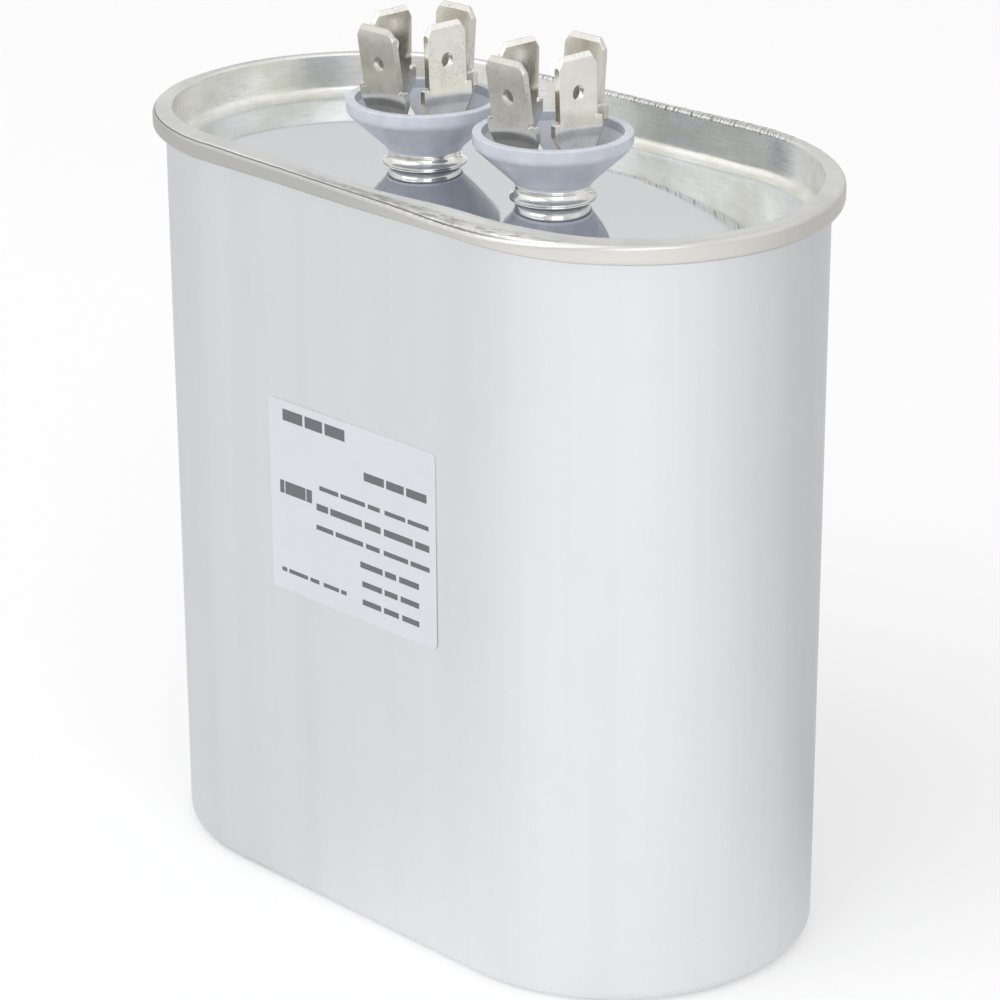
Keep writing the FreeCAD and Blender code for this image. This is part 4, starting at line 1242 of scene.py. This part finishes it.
def graded_level(tree, direction, plain, lobes):
    """Plain level plus each lobe's level*cos^sharpness of the angle to its heading."""
    total = plain
    for toward, sharpness, level in lobes:
        total = math_node(tree, "MULTIPLY_ADD",
                          lobe(tree, direction, heading(*toward), sharpness), level, total)
    return total


def build_world():
    """Soft studio all round: white to the camera, graded to metal, even to plain surfaces."""
    world = bpy.data.worlds.new("Studio")
    world.use_nodes = True
    tree = world.node_tree
    background = tree.nodes["Background"]
    ray = add_node(tree, "ShaderNodeLightPath")
    direction = add_node(tree, "ShaderNodeTexCoord").outputs["Generated"]
    graded = graded_level(tree, direction, WORLD_LEVEL, WORLD_LOBES)
    seen = either(tree, ray.outputs["Is Glossy Ray"], ray.outputs["Is Transmission Ray"])
    shared = add_node(tree, "ShaderNodeMix", data_type="FLOAT")
    join(tree, seen, shared.inputs[0])
    # Plain surfaces get more of their light from the front than from above.
    even = math_node(tree, "MULTIPLY_ADD", lobe(tree, direction, heading(*FRONT_HEADING), 1.0),
                     sizes("stage").front, sizes("stage").sky)
    join(tree, even, shared.inputs[2])
    join(tree, graded, shared.inputs[3])
    background.inputs["Color"].default_value = (1, 1, 1, 1)
    join(tree, either(tree, shared.outputs[0], ray.outputs["Is Camera Ray"]),
         background.inputs["Strength"])
    bpy.context.scene.world = world


def build_floor():
    """Round white floor that keeps the part's soft shadow and reads as white to the camera."""
    angle = np.linspace(0, 2*math.pi, 96, endpoint=False)
    rings = np.array([0.0, 0.1, 0.3, 1.0, 4.0])[:, None]
    vertices = np.stack([rings*np.cos(angle), rings*np.sin(angle), 0*rings + 0*angle], -1)
    floor = mesh_piece("floor", vertices.reshape(-1, 3),
                       grid_faces(len(rings), len(angle), False, True))
    material, tree, shader = new_material("White Floor", Base_Color=(FLOOR_GREY,)*3,
                                          Roughness=0.8, Emission_Color=(1, 1, 1))
    ray = add_node(tree, "ShaderNodeLightPath")
    outward = add_node(tree, "ShaderNodeVectorMath", operation="NORMALIZE")
    join(tree, object_place(tree), outward.inputs[0])
    graded = graded_level(tree, outward.outputs[0], FLOOR_LEVEL, FLOOR_LOBES)
    to_metal = math_node(tree, "MULTIPLY", ray.outputs["Is Glossy Ray"], graded)
    to_camera = math_node(tree, "MULTIPLY", ray.outputs["Is Camera Ray"], FLOOR_GLOW)
    join(tree, either(tree, to_metal, to_camera), shader.inputs["Emission Strength"])
    floor.data.materials.append(material)


def build_effects():
    build_drawn_grain()
    build_specks()
    build_printed_bar()
    build_moulded_skin()


class CAPACITOR_OT_effects(bpy.types.Operator):
    """Build the shader effects that the finishes share"""
    bl_idname = "capacitor.effects"
    bl_label = "Shared Effects"

    def execute(self, context):
        build_effects()
        return {"FINISHED"}


class CAPACITOR_OT_can(bpy.types.Operator):
    """Build the drawn can, from its base to the hook in the seam"""
    bl_idname = "capacitor.can"
    bl_label = "Can"

    def execute(self, context):
        build_can()
        return {"FINISHED"}


class CAPACITOR_OT_lid(bpy.types.Operator):
    """Build the lid with its rolled seam and bright panel"""
    bl_idname = "capacitor.lid"
    bl_label = "Lid"

    def execute(self, context):
        build_lid()
        return {"FINISHED"}


class CAPACITOR_OT_label(bpy.types.Operator):
    """Finish the label on the front face"""
    bl_idname = "capacitor.label"
    bl_label = "Label"

    def execute(self, context):
        build_label()
        return {"FINISHED"}


class CAPACITOR_OT_terminals(bpy.types.Operator):
    """Build both terminals: ferrules, rivets, cups and blades"""
    bl_idname = "capacitor.terminals"
    bl_label = "Terminals"

    def execute(self, context):
        build_ferrules()
        build_cups()
        build_blades()
        return {"FINISHED"}


class CAPACITOR_OT_inner(bpy.types.Operator):
    """Finish the pieces inside the can"""
    bl_idname = "capacitor.inner"
    bl_label = "Inner Pieces"

    def execute(self, context):
        build_inner_pieces()
        return {"FINISHED"}


class CAPACITOR_OT_stage(bpy.types.Operator):
    """Set up the camera, the lamps, the sky and the floor"""
    bl_idname = "capacitor.stage"
    bl_label = "Stage"

    def execute(self, context):
        s = sizes("stage")
        build_camera()
        build_world()
        build_floor()
        area_lamp("Key", -10, 50, 0.9, 0.7, s.key)
        area_lamp("Fill", 60, 25, 0.9, 0.5, s.fill)
        context.scene.view_settings.view_transform = "Standard"
        return {"FINISHED"}


STEPS = (CAPACITOR_OT_effects, CAPACITOR_OT_can, CAPACITOR_OT_lid, CAPACITOR_OT_label,
         CAPACITOR_OT_terminals, CAPACITOR_OT_inner, CAPACITOR_OT_stage)
GROUPS = {"seam": SeamSizes, "wear": WearSizes, "terminal": TerminalSizes, "finishes": Finishes,
          "stage": StageSizes}


class CAPACITOR_PT_panel(bpy.types.Panel):
    """Sizes, colours and steps of the capacitor"""
    bl_idname = "CAPACITOR_PT_panel"
    bl_label = "Motor Run Capacitor"
    bl_space_type = "VIEW_3D"
    bl_region_type = "UI"
    bl_category = "Capacitor"

    def draw(self, context):
        layout = self.layout
        for name, group in GROUPS.items():
            box = layout.box()
            box.label(text=name.title())
            values = sizes(name)
            for key in group.__annotations__:
                box.prop(values, key)
        for step in STEPS:
            layout.operator(step.bl_idname)


def register():
    for cls in (*GROUPS.values(), *STEPS, CAPACITOR_PT_panel):
        bpy.utils.register_class(cls)
    for name, group in GROUPS.items():
        setattr(bpy.types.Scene, "capacitor_" + name, PointerProperty(type=group))


def unregister():
    for name in GROUPS:
        delattr(bpy.types.Scene, "capacitor_" + name)
    for cls in (CAPACITOR_PT_panel, *reversed(STEPS), *reversed(GROUPS.values())):
        bpy.utils.unregister_class(cls)


def main():
    register()
    for step in STEPS:
        section, name = step.bl_idname.split(".")
        getattr(getattr(bpy.ops, section), name)()


if __name__ == "__main__":
    main()
